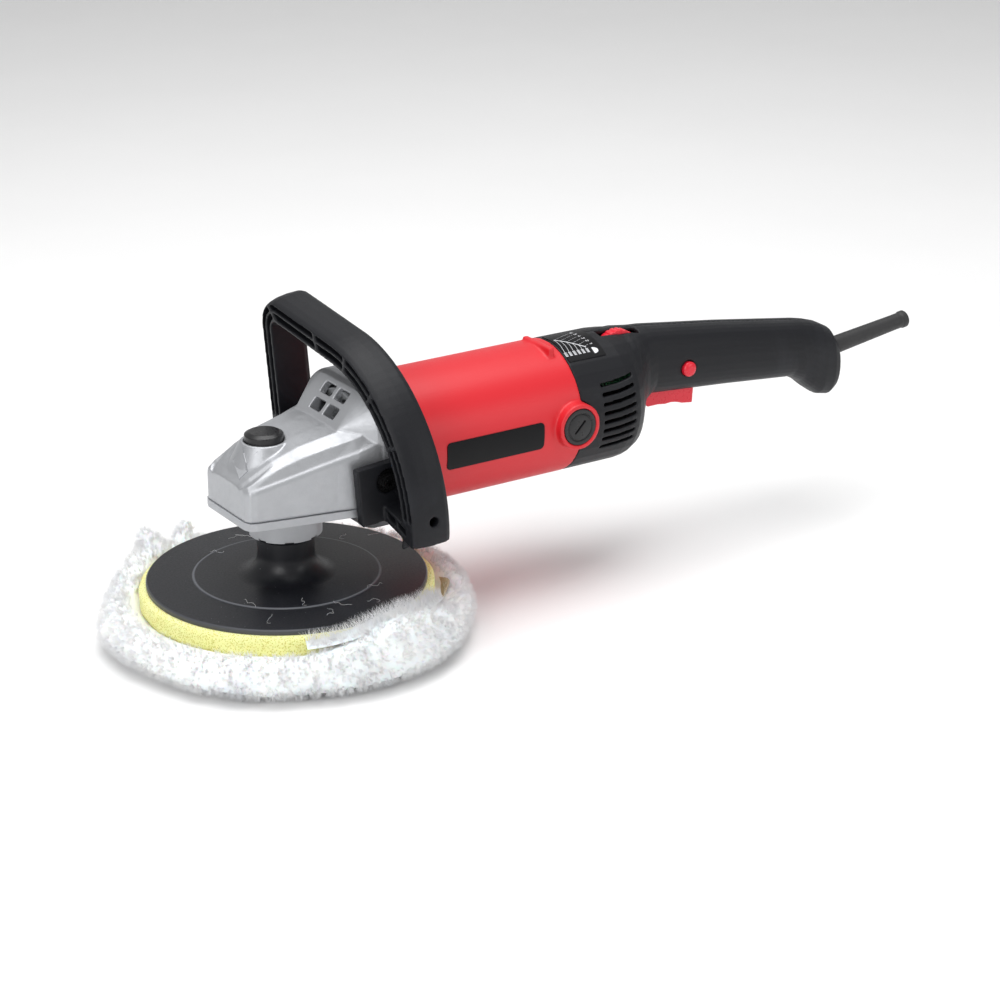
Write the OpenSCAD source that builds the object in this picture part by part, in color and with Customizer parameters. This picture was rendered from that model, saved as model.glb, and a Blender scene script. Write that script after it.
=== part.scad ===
// Rotary polisher, 180 mm class, with a right-angle gear head, a loop handle and a switch handle.
// Frame: +Z up along the spindle, +X from the gear head towards the switch handle, -Y the side of the lock-on button.
// The origin is on the spindle axis, in the plane that the wool bonnet rests on. Millimetres.

/* [Backing pad, foam and bonnet] */
// Diameter of the backing pad
pad_d = 180; // [150:1:216]
// Thickness of the backing pad at its rim
pad_rim_t = 3.5; // [2.5:0.5:5]
// Height of the pad's hub above the rim
hub_h = 27.5; // [22:0.5:34]
// Diameter of the hub's neck
hub_d = 37; // [34:1:44]
// Thickness of the foam disc
foam_t = 14.5; // [10:0.5:18]
// How far the foam stands out past the pad
foam_over = 5; // [2:0.5:8]
// Depth of the wool under the foam
wool_t = 20; // [14:1:26]
// How far the wool stands out past the foam
wool_over = 26; // [18:1:32]
// Thickness of the bonnet's cloth back
cloth_t = 1.5; // [1:0.1:2.5]

/* [Spindle and gears] */
// Diameter of the spindle where the bearing and the gear sit
spindle_d = 15; // [12:0.5:18]
// Diameter of the spindle thread
thread_d = 14; // [12:1:15]
// Module of the bevel gears
gear_m = 1.5; // [1.25:0.05:1.6]
// Teeth on the bevel pinion
pinion_teeth = 9; // [8:1:10]
// Teeth on the ring gear
ring_teeth = 36; // [34:1:36]
// Face width of the bevel teeth
tooth_w = 7; // [5:0.5:8]
// Outer diameter of the spindle ball bearing
spindle_brg_d = 35; // [32:1:38]
// Width of the spindle ball bearing
spindle_brg_w = 11; // [9:0.5:12]

/* [Gear head] */
// Height of the bearing flange's collar
collar_h = 17.3; // [16:0.1:22]
// Diameter of the collar
collar_d = 47; // [45:1:54]
// Thickness of the bearing flange's plate
flange_t = 5; // [4:0.5:7]
// Height of the motor axis above the flange
axis_rise = 24; // [23:0.5:28]
// How far the nose reaches in front of the spindle
nose_len = 40; // [38:1:46]
// Width of the nose across its front
nose_w = 56; // [54:1:64]
// Place of the joint between the gear head and the motor housing
head_end_x = 64; // [62:1:74]
// Thickness of the cast walls
cast_t = 4; // [3:0.5:5]

/* [Spindle lock] */
// Diameter of the lock button
lock_d = 25; // [21:1:27]
// Travel of the lock button
lock_travel = 4.5; // [3.5:0.1:4.8]
// Diameter of the lock pin
lock_pin_d = 5; // [4:0.5:6]

/* [Motor housing] */
// Diameter of the motor housing's barrel
housing_d = 90; // [86:1:108]
// Length of the motor housing
housing_len = 134.5; // [132:0.5:160]
// Wall of the motor housing
housing_wall = 3; // [2.5:0.1:3.5]
// Distance of the brush axis in front of the housing's rear end
brush_inset = 6; // [5:0.5:10]
// Diameter of the raised boss round each brush cap
brush_boss_d = 31; // [28:1:34]
// Diameter of each brush cap
brush_cap_d = 24.4; // [20:0.2:26]

/* [Motor] */
// Length of the stator core
stator_len = 52; // [46:1:62]
// Diameter of the armature core
armature_d = 48; // [44:1:50]
// Length of the commutator
commutator_len = 20; // [16:1:22]
// Diameter of the commutator
commutator_d = 32; // [28:1:33]
// Slots in the armature core
armature_slots = 12; // [8:1:16]
// Blades on the cooling fan
fan_blades = 15; // [9:1:21]

/* [Switch handle] */
// Length of the switch handle, from the housing to its rear end
handle_len = 243; // [232:1:292]
// Width of the grip
grip_w = 39; // [36:1:46]
// Height of the grip
grip_h = 47; // [44:1:54]
// Fall of the grip towards its rear end, in degrees
grip_fall = 8.3; // [5:0.1:9]
// Wall of the handle shells
shell_t = 2.8; // [2.2:0.1:3.2]
// Length of the trigger
trigger_len = 40; // [36:1:46]
// Swing of the trigger, in degrees
trigger_swing = 8; // [5:0.5:9]
// Diameter of the lock-on button
lock_on_d = 10.4; // [8:0.1:11]
// Travel of the lock-on button
lock_on_travel = 2.5; // [1.5:0.1:3]
// Diameter of the speed dial
dial_d = 30; // [27:1:32]
// Width of the speed dial
dial_w = 7; // [5:0.5:9]

/* [Strain relief] */
// Length of the strain relief outside the handle
relief_len = 72; // [50:1:80]
// Diameter of the strain relief where it leaves the handle
relief_root_d = 13; // [12:0.5:20]
// Diameter of the strain relief near its end
relief_tip_d = 11.2; // [10.5:0.1:13]
// Bore for the mains lead
cord_bore_d = 7.6; // [7:0.1:8.4]
// Rise of the strain relief above the horizontal, in degrees
relief_rise = 7.6; // [4:0.2:14]

/* [Loop handle] */
// Width of the loop handle
loop_w = 184; // [176:1:220]
// Height of the loop's top above the motor axis
loop_rise = 84; // [78:1:100]
// Depth of the loop handle, along X
loop_depth = 27; // [24:1:30]
// Thickness of the loop handle
loop_t = 16; // [14:0.5:18]
// Place of the loop handle's bolts
loop_bolt_x = 45; // [43:1:50]
// Forward lean of the loop handle, in degrees
loop_lean = 4.4; // [0:0.2:8]
// Diameter of the loop handle's bolts
loop_bolt_d = 8; // [6:1:10]

/* [Hidden] */
$fn = 64;

// Clearances: between fitted faces, between faces that slide, and a running fit on a shaft.
fit = 0.1;
slide = 0.3;
running = 0.05;
eps = 0.01;

// Heights, from the work surface up.
cloth_z = wool_t;
foam_z = cloth_z + cloth_t;
pad_z = foam_z + foam_t;
pad_top_z = pad_z + pad_rim_t;
hub_top_z = pad_top_z + hub_h;
spindle_collar_t = 1.7;
collar_z = hub_top_z + spindle_collar_t + 0.5;
flange_z = collar_z + collar_h;
head_z = flange_z + flange_t;
motor_z = head_z + axis_rise;

// Radii that several pieces share.
pad_r = pad_d / 2;
foam_r = pad_r + foam_over;
wool_r = foam_r + wool_over;
spindle_r = spindle_d / 2;
housing_r = housing_d / 2;
housing_bore_r = housing_r - housing_wall;
stator_r = housing_bore_r - 2.5;
head_r = housing_r + 2;
head_bore_r = housing_r - 5;

// Places along the motor axis.
bearing_plate_x = 42;
bearing_plate_t = 5;
front_brg_x = bearing_plate_x - 6;
fan_x = bearing_plate_x + bearing_plate_t + 3.5;
fan_t = head_end_x - fan_x - 2;
baffle_x = head_end_x + 1;
baffle_t = 4;
stator_x = head_end_x + 36;
housing_end_x = head_end_x + housing_len;
brush_x = housing_end_x - brush_inset;
commutator_x = brush_x - commutator_len / 2;
rear_brg_x = housing_end_x + 9;
handle_end_x = housing_end_x + handle_len;

// ---------- shared shapes ----------

// Turns the Z axis onto the motor axis, with the origin where the spindle crosses it.
module on_motor_axis(x = 0) translate([x, 0, motor_z]) rotate([0, 90, 0]) children();

// Places a shape drawn along +Z so that it points along -Y (right) or +Y (left).
module to_side(side) rotate([side < 0 ? 90 : -90, 0, 0]) children();

module tube(r, bore, h) difference() {
    cylinder(r = r, h = h);
    translate([0, 0, -1]) cylinder(r = bore, h = h + 2);
}

// A square with rounded corners, standing across X, from x to x + t.
module rounded_square_x(half, corner, t) rotate([0, 90, 0]) linear_extrude(t)
    union() {
        square([2 * half, 2 * (half - corner)], center = true);
        square([2 * (half - corner), 2 * half], center = true);
        for (a = [-1, 1], b = [-1, 1])
            translate([a * (half - corner), b * (half - corner)]) circle(r = corner);
    }

// Ball bearings: the outer ring, and the inner ring with its balls.
function ball_r(bore, outer) = (outer - bore) * 0.27;
function pitch_r(bore, outer) = (outer + bore) / 2;
module bearing_outer(bore, outer, w) difference() {
    tube(outer, pitch_r(bore, outer) + ball_r(bore, outer) * 0.72, w);
    translate([0, 0, w / 2]) rotate_extrude()
        translate([pitch_r(bore, outer), 0]) circle(r = ball_r(bore, outer) + 0.04);
}
module bearing_inner(bore, outer, w, balls) {
    difference() {
        tube(pitch_r(bore, outer) - ball_r(bore, outer) * 0.72, bore, w);
        translate([0, 0, w / 2]) rotate_extrude()
            translate([pitch_r(bore, outer), 0]) circle(r = ball_r(bore, outer) + 0.04);
    }
    for (i = [0:balls - 1]) rotate([0, 0, i * 360 / balls])
        translate([pitch_r(bore, outer), 0, w / 2]) sphere(r = ball_r(bore, outer), $fn = 32);
}

// A coil spring along +Z, as a swept tube with few sides.
function coil_point(i, n, r, h, turns) = [
    r * cos(360 * turns * i / n), r * sin(360 * turns * i / n), h * i / n];
function ring_point(i, k, sides, wire, n, r, h, turns) =
    let (c = coil_point(i, n, r, h, turns), a = 360 * turns * i / n, b = 360 * k / sides)
    c + wire * [cos(a) * cos(b), sin(a) * cos(b), sin(b)];
module coil_spring(r, wire, h, turns, steps = 10, sides = 6) {
    n = round(turns * steps);
    points = [for (i = [0:n], k = [0:sides - 1]) ring_point(i, k, sides, wire, n, r, h, turns)];
    walls = [for (i = [0:n - 1], k = [0:sides - 1]) let (l = (k + 1) % sides)
        [i * sides + k, (i + 1) * sides + k, (i + 1) * sides + l, i * sides + l]];
    first_end = [for (k = [0:sides - 1]) k];
    last_end = [for (k = [sides - 1:-1:0]) n * sides + k];
    polyhedron(points, concat([first_end], walls, [last_end]), convexity = 8);
}

// A pan-head or socket-head screw along +Z: the head's underside is at z = 0 and the shank runs down.
module screw(shank_r, shank_l, head_r, head_h, socket_r) difference() {
    union() {
        cylinder(r = head_r, h = head_h);
        translate([0, 0, -shank_l]) cylinder(r = shank_r, h = shank_l + eps);
    }
    translate([0, 0, head_h * 0.45]) cylinder(r = socket_r, h = head_h, $fn = 6);
}

// ---------- bonnet, foam and backing pad ----------

bonnet_inner_r = foam_r + 3;
bonnet_rim_z = pad_z - 3;

// The wool is a thick ring that rises round the foam, with a flat underside.
module wool_bonnet() color("white") difference() {
    rotate_extrude() difference() {
        union() {
            square([wool_r - 12, bonnet_rim_z]);
            translate([wool_r - 14, 14]) circle(r = 14);
            translate([bonnet_inner_r + 6, bonnet_rim_z - 2]) circle(r = 5.5);
            polygon([[bonnet_inner_r + 3, 4], [wool_r - 5, 4], [wool_r - 2, 20],
                     [bonnet_inner_r + 10, bonnet_rim_z + 2], [bonnet_inner_r + 3, bonnet_rim_z + 2]]);
        }
        translate([-20, -20]) square([wool_r + 40, 20]);
        translate([-20, cloth_z]) square([bonnet_inner_r + cloth_t + 20, 40]);
    }
}
module bonnet_backing() color("tan") difference() {
    translate([0, 0, cloth_z]) cylinder(r = bonnet_inner_r + cloth_t - 0.3, h = foam_t * 0.6 + cloth_t);
    translate([0, 0, foam_z]) cylinder(r = bonnet_inner_r, h = foam_t);
}
module foam_pad() color("yellow") translate([0, 0, foam_z]) cylinder(r = foam_r, h = foam_t);

// The backing pad: a dished disc with a moulded ring and a flared hub that holds the threaded nut.
nut_r = 11;
nut_h = 20;
hub_r = hub_d / 2;
flare_r = 14;
ring_r = pad_r * 2 / 3;
module backing_pad() color([0.1, 0.1, 0.12]) difference() {
    translate([0, 0, pad_z]) rotate_extrude() difference() {
        polygon([[0, 0], [pad_r, 0], [pad_r, pad_rim_t - 0.8], [pad_r - 0.8, pad_rim_t],
                 [ring_r + 0.6, pad_rim_t + 1], [ring_r, pad_rim_t + 1.6], [hub_r + flare_r, pad_rim_t + 2],
                 [hub_r + flare_r, pad_rim_t + 3], [hub_r, pad_rim_t + 3 + flare_r],
                 [hub_r, pad_rim_t + hub_h - 1], [hub_r - 1, pad_rim_t + hub_h], [0, pad_rim_t + hub_h]]);
        translate([hub_r + flare_r, pad_rim_t + 2 + flare_r]) circle(r = flare_r);
    }
    translate([0, 0, hub_top_z - nut_h]) cylinder(r = nut_r, h = nut_h + 1);
    translate([0, 0, pad_z + 2]) cylinder(r = thread_d / 2 + 1, h = hub_h);
}
module pad_nut() color("silver") translate([0, 0, hub_top_z - nut_h])
    tube(nut_r, thread_d / 2, nut_h - 0.3);

// ---------- spindle and bevel gears ----------

ring_pitch_r = gear_m * ring_teeth / 2;
pinion_pitch_r = gear_m * pinion_teeth / 2;
cone_l = sqrt(ring_pitch_r * ring_pitch_r + pinion_pitch_r * pinion_pitch_r);
tooth_share = (cone_l - tooth_w) / cone_l;
addendum = 0.7 * gear_m;
dedendum = 1.0 * gear_m;
// Half a tooth at the pitch line, a little under a quarter of the pitch so that the gears have backlash.
tooth_half = 0.205 * PI * gear_m;
tooth_lean = tan(20);

// A tooth on a cone with its apex at the origin. along and out are the pitch line's length along the axis
// and its radius; the tooth stands in the plane of the axis, which is +Z here, and points away from it.
function tooth_corner(along, out, up, half, share) =
    share * [out + up * along / cone_l, half, along - up * out / cone_l];
module bevel_tooth(along, out, depth) {
    foot_half = tooth_half + depth * tooth_lean;
    tip_half = tooth_half - addendum * tooth_lean;
    ends = [1, tooth_share];
    points = [for (s = ends) each [
        tooth_corner(along, out, -depth, -foot_half, s), tooth_corner(along, out, -depth, foot_half, s),
        tooth_corner(along, out, addendum, tip_half, s), tooth_corner(along, out, addendum, -tip_half, s)]];
    polyhedron(points, [[0, 1, 2, 3], [7, 6, 5, 4], [4, 5, 1, 0], [5, 6, 2, 1], [6, 7, 3, 2], [7, 4, 0, 3]]);
}
function root_out(along, out, s) = s * (out - dedendum * along / cone_l);
function root_along(along, out, s) = s * (along + dedendum * out / cone_l);

// The gear is drawn with its cone's apex at the origin and opening along +Z, then turned over.
gear_bottom = axis_rise - 5;
gear_hub_r = spindle_r + 3;
module ring_gear() color("dimgray") difference() {
    translate([0, 0, motor_z]) mirror([0, 0, 1]) {
        rotate_extrude() polygon([
            [gear_hub_r, 8], [gear_hub_r, 12],
            [root_out(pinion_pitch_r, ring_pitch_r, tooth_share) - 1.5, 12],
            [root_out(pinion_pitch_r, ring_pitch_r, tooth_share) - 1.5,
             root_along(pinion_pitch_r, ring_pitch_r, tooth_share)],
            [root_out(pinion_pitch_r, ring_pitch_r, tooth_share),
             root_along(pinion_pitch_r, ring_pitch_r, tooth_share)],
            [root_out(pinion_pitch_r, ring_pitch_r, 1), root_along(pinion_pitch_r, ring_pitch_r, 1)],
            [root_out(pinion_pitch_r, ring_pitch_r, 1) - 1.5, gear_bottom],
            [spindle_r + running, gear_bottom], [spindle_r + running, 8]]);
        for (i = [0:ring_teeth - 1]) rotate([0, 0, (i + 0.5) * 360 / ring_teeth])
            bevel_tooth(pinion_pitch_r, ring_pitch_r, dedendum + 0.3);
    }
    for (i = [0:7]) rotate([0, 0, i * 45])
        translate([lock_x, 0, motor_z - gear_bottom - 1]) cylinder(r = lock_pin_d / 2 + slide, h = 20);
}

pinion_bore_r = 2.8;
module pinion_gear() color("gray") on_motor_axis() difference() {
    union() {
        rotate_extrude() polygon([
            [0, root_along(ring_pitch_r, pinion_pitch_r, tooth_share)],
            [root_out(ring_pitch_r, pinion_pitch_r, tooth_share),
             root_along(ring_pitch_r, pinion_pitch_r, tooth_share)],
            [root_out(ring_pitch_r, pinion_pitch_r, 1), root_along(ring_pitch_r, pinion_pitch_r, 1)],
            [pinion_pitch_r, ring_pitch_r + 1.2], [pinion_pitch_r, front_brg_x - 1],
            [0, front_brg_x - 1]]);
        for (i = [0:pinion_teeth - 1]) rotate([0, 0, i * 360 / pinion_teeth])
            bevel_tooth(ring_pitch_r, pinion_pitch_r, dedendum + 0.3);
    }
    cylinder(r = pinion_bore_r, h = front_brg_x + 20);
}

bush_z = motor_z - 2;
bush_h = 10;
bush_r = 9;
spindle_tip_r = 6;
spindle_brg_z = collar_z + 4.8;
module spindle() color("silver") {
    gear_seat_z = motor_z - gear_bottom;
    difference() {
        union() {
            translate([0, 0, hub_top_z - nut_h + 2]) cylinder(r = thread_d / 2 - running, h = nut_h);
            translate([0, 0, hub_top_z]) cylinder(r = hub_r - 4, h = spindle_collar_t);
            translate([0, 0, hub_top_z]) cylinder(r = spindle_r, h = motor_z - 7 - hub_top_z);
            translate([0, 0, spindle_brg_z + spindle_brg_w])
                cylinder(r = spindle_r + 2, h = gear_seat_z - spindle_brg_z - spindle_brg_w);
            translate([0, 0, motor_z - 8]) cylinder(r = spindle_tip_r, h = bush_z + bush_h - 0.5 - motor_z + 8);
        }
        for (side = [-1, 1]) translate([0, side * (hub_r - 4), hub_top_z + spindle_collar_t / 2])
            cube([12, 5, spindle_collar_t * 2], center = true);
    }
}
module spindle_bearing_outer() color("silver") translate([0, 0, spindle_brg_z])
    bearing_outer(spindle_r, spindle_brg_d / 2, spindle_brg_w);
module spindle_bearing_inner() color("silver") translate([0, 0, spindle_brg_z])
    bearing_inner(spindle_r, spindle_brg_d / 2, spindle_brg_w, 8);
retainer_t = 2.5;
retainer_r = spindle_brg_d / 2 + 2.2;
module bearing_retainer() color("gray") translate([0, 0, spindle_brg_z + spindle_brg_w])
    tube(retainer_r, spindle_brg_d / 2 - 2.5, retainer_t);
seal_r = spindle_brg_d / 2 - 4;
module felt_seal() color("tan") translate([0, 0, collar_z + 0.8])
    tube(seal_r, spindle_r + slide, spindle_brg_z - collar_z - 1.6);
module spindle_bush() color("peru") translate([0, 0, bush_z]) tube(bush_r, spindle_tip_r + running, bush_h);

// ---------- gear head and bearing flange ----------

head_side_x = loop_bolt_x - 7;
// The head's outline seen from above, smaller by inset: a blunt nose that widens to the housing's flange.
function head_outline(inset) = let (w = nose_w / 2 - inset, r = head_r - 2 - inset, x = -nose_len + inset) [
    [x - 1, -w + 5], [x - 1, w - 5], [x + 1, w + 0.4], [x + 5, w + 2.2], [x + 37, w + 8.8], [head_side_x, r],
    [head_side_x, -r], [x + 37, -w - 8.8], [x + 5, -w - 2.2], [x + 1, -w - 0.4]];
module head_slab(inset, z, t, dip = 0) translate([0, 0, z]) linear_extrude(t) polygon(head_outline(inset));

flange_screw_places = [
    [-nose_len + 9, nose_w / 2 - 8], [-nose_len + 9, -nose_w / 2 + 8],
    [30, head_r - 12], [30, -head_r + 12]];
collar_notches = 8;
module bearing_flange() color([0.78, 0.79, 0.81]) difference() {
    union() {
        intersection() {
            head_slab(-0.8, flange_z, flange_t);
            translate([-200, -200, flange_z]) cube([200 + head_side_x - 2, 400, flange_t]);
        }
        translate([0, 0, collar_z]) cylinder(r = collar_d / 2, h = collar_h + eps);
    }
    translate([0, 0, collar_z - 1]) cylinder(r = seal_r, h = 10);
    translate([0, 0, spindle_brg_z]) cylinder(r = spindle_brg_d / 2, h = 40);
    translate([0, 0, spindle_brg_z + spindle_brg_w]) cylinder(r = retainer_r, h = 40);
    for (i = [0:collar_notches - 1]) rotate([0, 0, (i + 0.5) * 360 / collar_notches])
        translate([collar_d / 2 + 0.5, 0, collar_z]) cube([4, 6, 3], center = true);
    for (p = flange_screw_places) translate([p[0], p[1], flange_z]) {
        translate([0, 0, -1]) cylinder(r = 2.2, h = 20);
        translate([0, 0, -12]) cylinder(r = 4.4, h = 15);
    }
}
module flange_screws() color("dimgray") for (p = flange_screw_places)
    translate([p[0], p[1], flange_z + 3]) rotate([180, 0, 0]) screw(2, 11, 4, 2.8, 1.7);

// The spindle lock: its place along the head, and the boss that it stands in.
lock_x = -13;
lock_r = lock_d / 2;
lock_boss_top = motor_z + 18;
lock_floor_z = lock_boss_top - lock_travel - 1.5;

// The nose of the casting, as sections along X: [x, half width, rim, half width of the top panel, panel],
// with the heights from the motor axis.
nose_half = nose_w / 2;
head_sections = [
    [-nose_len - 1, nose_half - 3, -4.2, nose_half - 12, -3.2],
    [-nose_len + 1, nose_half + 0.6, -3.2, nose_half - 9.5, -1.6],
    [-nose_len + 5, nose_half + 2.4, -2.2, nose_half - 8, 1.6],
    [-nose_len + 20, nose_half + 5.5, 1.4, nose_half - 5, 11],
    [-nose_len + 37, nose_half + 9, 5.8, nose_half - 2, 18],
    [head_side_x - 22, head_r - 6.4, 10.4, head_r - 19, 22],
    [head_side_x - 8, head_r - 2.6, 14, head_r - 17, 25],
    [head_side_x + 8, head_r - 0.6, 19, head_r - 16, 29]
];
function head_half(s, i) = let (w = s[1] - i, r = s[2] - i, v = s[3] - i * 0.6, z = s[4] - i) [
    [w - 0.8, -axis_rise], [w, -axis_rise + 1], [w, r - 3], [w - 0.7, r - 1], [w - 2.4, r + 0.4],
    [(w + v) / 2 + 0.6, (r + z) / 2 + 1.2], [v + 1.4, z - 1.4], [v - 1.6, z], [v * 0.4, z + 0.7]];
module head_nose(inset) {
    rings = [for (s = head_sections) let (h = head_half(s, inset), n = len(h)) concat(
        [for (p = h) [s[0] + (s[0] < 0 ? inset : 0), -p[0], motor_z + p[1]]],
        [for (k = [n - 1:-1:0]) [s[0] + (s[0] < 0 ? inset : 0), h[k][0], motor_z + h[k][1]]])];
    n = len(rings[0]);
    walls = [for (i = [0:len(rings) - 2], k = [0:n - 1]) let (l = (k + 1) % n)
        [i * n + k, i * n + l, (i + 1) * n + l, (i + 1) * n + k]];
    polyhedron([for (g = rings) each g], concat(
        [[for (k = [n - 1:-1:0]) k]], walls, [[for (k = [0:n - 1]) (len(rings) - 1) * n + k]]), convexity = 4);
}
head_corner = 26;
hood_foot = [head_side_x - 13, 24];
hood_top = head_side_x + 9;
module head_hood() hull() {
    translate([hood_foot[0], 0, motor_z + hood_foot[1]]) cube([1, 2 * head_r - 42, 1], center = true);
    translate([hood_foot[0] + 14, 0, motor_z]) cube([1, 2 * head_r - 12, 24], center = true);
    translate([hood_top - 4, 0, motor_z]) rounded_square_x(head_r - 1.8, head_corner - 2, 1, $fn = 32);
    translate([hood_top, 0, motor_z]) rounded_square_x(head_r, head_corner, 2, $fn = 32);
}
// Two rows of two exhaust slots in the hood's sloping face.
module head_vents() for (side = [-1, 1], row = [0, 1])
    translate([hood_foot[0] + 6.6 + row * 8.2, side * 8.6 - 1, motor_z + hood_foot[1] + 5.4 + row * 8.8])
        rotate([0, 43, 0]) cube([18, 13.2, 8], center = true);

module gear_head() color([0.8, 0.81, 0.83]) difference() {
    union() {
        head_nose(0);
        head_hood();
        translate([hood_top + 2 - eps, 0, motor_z]) rounded_square_x(head_r, head_corner, head_end_x - hood_top - 2 + eps);
        translate([lock_x, 0, motor_z]) cylinder(r1 = lock_r + 12, r2 = lock_r + 2.5, h = lock_boss_top - motor_z);
    }
    // The gear chamber, with columns left for the flange screws, the bush and the lock pin.
    difference() {
        union() {
            difference() {
                head_nose(cast_t);
                translate([-100, -100, motor_z + 9]) cube([200, 200, 100]);
                translate([bearing_plate_x - 2, -100, motor_z - 60]) cube([100, 200, 200]);
            }
            translate([0, 0, head_z - 3]) cylinder(r = ring_pitch_r + 3, h = 12);
            on_motor_axis(20) cylinder(r = 22, h = 40);
        }
        for (p = flange_screw_places) translate([p[0], p[1], head_z - 2]) cylinder(r = 5.2, h = 60);
        translate([0, 0, bush_z]) cylinder(r = bush_r + 3.5, h = 60);
    }
    translate([0, 0, bush_z - 1]) cylinder(r = bush_r, h = bush_h + 1.2);
    for (p = flange_screw_places) translate([p[0], p[1], head_z - 5]) cylinder(r = 2.1, h = 16);
    // The lock button's recess and its pin's guide.
    translate([lock_x, 0, lock_floor_z]) cylinder(r = lock_r + slide, h = 30);
    translate([lock_x, 0, motor_z - 20]) cylinder(r = lock_pin_d / 2 + running, h = 60);
    // The air duct behind the vents, and the bore for the bearing plate and the fan.
    difference() {
        translate([head_side_x, 20, motor_z]) rotate([90, 0, 0]) linear_extrude(40)
            polygon([[-4.5, 20], [-1.4, 30], [8.6, 41.5], [13, 41.5], [13, 20]]);
        on_motor_axis(0) cylinder(r = 24, h = 100);
    }
    head_vents();
    on_motor_axis(bearing_plate_x) cylinder(r = head_bore_r, h = 60);
    for (side = [-1, 1]) translate([loop_bolt_x, 0, loop_bolt_z]) to_side(side)
        translate([0, 0, head_bore_r - 2]) cylinder(r = loop_bolt_d / 2 + fit, h = 20);
    for (a = [-1, 1], b = [-1, 1]) translate([head_end_x - 16, a * housing_screw_at, motor_z + b * housing_screw_at])
        rotate([0, 90, 0]) cylinder(r = 2.1, h = 20);
}

module spindle_lock_button() color([0.08, 0.08, 0.09]) translate([lock_x, 0, 0]) difference() {
    union() {
        translate([0, 0, lock_boss_top - 1]) cylinder(r = lock_r, h = 5);
        translate([0, 0, lock_boss_top + 4 - eps]) cylinder(r1 = lock_r, r2 = lock_r - 3, h = 1.6);
    }
    translate([0, 0, lock_boss_top - 2]) cylinder(r = lock_pin_d / 2 + 2.2, h = 3.4);
    translate([0, 0, lock_boss_top - 2]) cylinder(r = lock_pin_d / 2, h = 5);
}
lock_pin_foot = motor_z - 12 + 2;
module spindle_lock_pin() color("silver") translate([lock_x, 0, lock_pin_foot])
    cylinder(r = lock_pin_d / 2, h = lock_boss_top + 3 - lock_pin_foot);
module spindle_lock_spring() color("silver") translate([lock_x, 0, lock_floor_z + 0.5])
    coil_spring(lock_pin_d / 2 + 1.1, 0.4, lock_boss_top + 0.9 - lock_floor_z - 0.5, 4);

// ---------- armature ----------

shaft_r = 6;
shaft_rear_r = 4;
front_brg_w = 8;
front_brg_r = 14;
rear_brg_r = 11;
rear_brg_w = 7;
module armature_shaft() color("silver") on_motor_axis() {
    translate([0, 0, ring_pitch_r * tooth_share + 1]) cylinder(r = pinion_bore_r - running, h = front_brg_x - ring_pitch_r * tooth_share);
    translate([0, 0, front_brg_x - 1]) cylinder(r = shaft_r, h = commutator_x + commutator_len + 2 - front_brg_x + 1);
    translate([0, 0, commutator_x + commutator_len]) cylinder(r = shaft_rear_r, h = rear_brg_x + rear_brg_w - commutator_x - commutator_len);
}
module front_bearing_outer() color("silver") on_motor_axis(front_brg_x) bearing_outer(shaft_r, front_brg_r, front_brg_w);
module front_bearing_inner() color("silver") on_motor_axis(front_brg_x) bearing_inner(shaft_r, front_brg_r, front_brg_w, 8);
module rear_bearing_outer() color("silver") on_motor_axis(rear_brg_x) bearing_outer(shaft_rear_r, rear_brg_r, rear_brg_w);
module rear_bearing_inner() color("silver") on_motor_axis(rear_brg_x) bearing_inner(shaft_rear_r, rear_brg_r, rear_brg_w, 7);
boot_t = 1.4;
module rear_bearing_boot() color([0.1, 0.1, 0.1]) on_motor_axis(rear_brg_x) difference() {
    cylinder(r = rear_brg_r + boot_t, h = rear_brg_w + 1.5);
    translate([0, 0, -1]) cylinder(r = rear_brg_r, h = rear_brg_w + 1);
    translate([0, 0, -1]) cylinder(r = shaft_rear_r + 2, h = 20);
}
module front_bearing_plate() color("silver") on_motor_axis() difference() {
    union() {
        translate([0, 0, bearing_plate_x]) cylinder(r = head_bore_r - fit, h = bearing_plate_t);
        translate([0, 0, front_brg_x - 1]) cylinder(r = front_brg_r + 4, h = bearing_plate_x - front_brg_x + 2);
    }
    translate([0, 0, front_brg_x]) cylinder(r = front_brg_r, h = 40);
    translate([0, 0, front_brg_x - 5]) cylinder(r = front_brg_r - 4, h = 40);
    for (a = [-1.5:1:1.5]) rotate([0, 0, 180 + a * 26]) translate([head_bore_r - 9, 0, bearing_plate_x - 1])
        cylinder(r = 5.5, h = bearing_plate_t + 2);
}
fan_r = head_bore_r - 3;
module cooling_fan() color([0.15, 0.15, 0.16]) on_motor_axis(fan_x) difference() {
    union() {
        cylinder(r = shaft_r + 5, h = fan_t);
        cylinder(r = fan_r, h = 1.6);
        for (i = [0:fan_blades - 1]) rotate([0, 0, i * 360 / fan_blades])
            translate([shaft_r + 9, -0.8, 1]) rotate([0, 0, 18]) cube([fan_r - shaft_r - 12, 1.6, fan_t - 1]);
    }
    translate([0, 0, -1]) cylinder(r = shaft_r, h = fan_t + 2);
}
module fan_baffle() color([0.15, 0.15, 0.16]) on_motor_axis(baffle_x)
    tube(housing_bore_r - fit, fan_r - 8, baffle_t);
armature_r = armature_d / 2;
core_x = stator_x + 1;
core_len = stator_len - 2;
module armature_core() color("dimgray") on_motor_axis(core_x) difference() {
    cylinder(r = armature_r, h = core_len);
    translate([0, 0, -1]) cylinder(r = shaft_r, h = core_len + 2);
    for (i = [0:armature_slots - 1]) rotate([0, 0, i * 360 / armature_slots]) {
        translate([armature_r - 5, 0, -1]) cylinder(r = 3, h = core_len + 2);
        translate([armature_r - 4, -0.8, -1]) cube([6, 1.6, core_len + 2]);
    }
}
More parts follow.
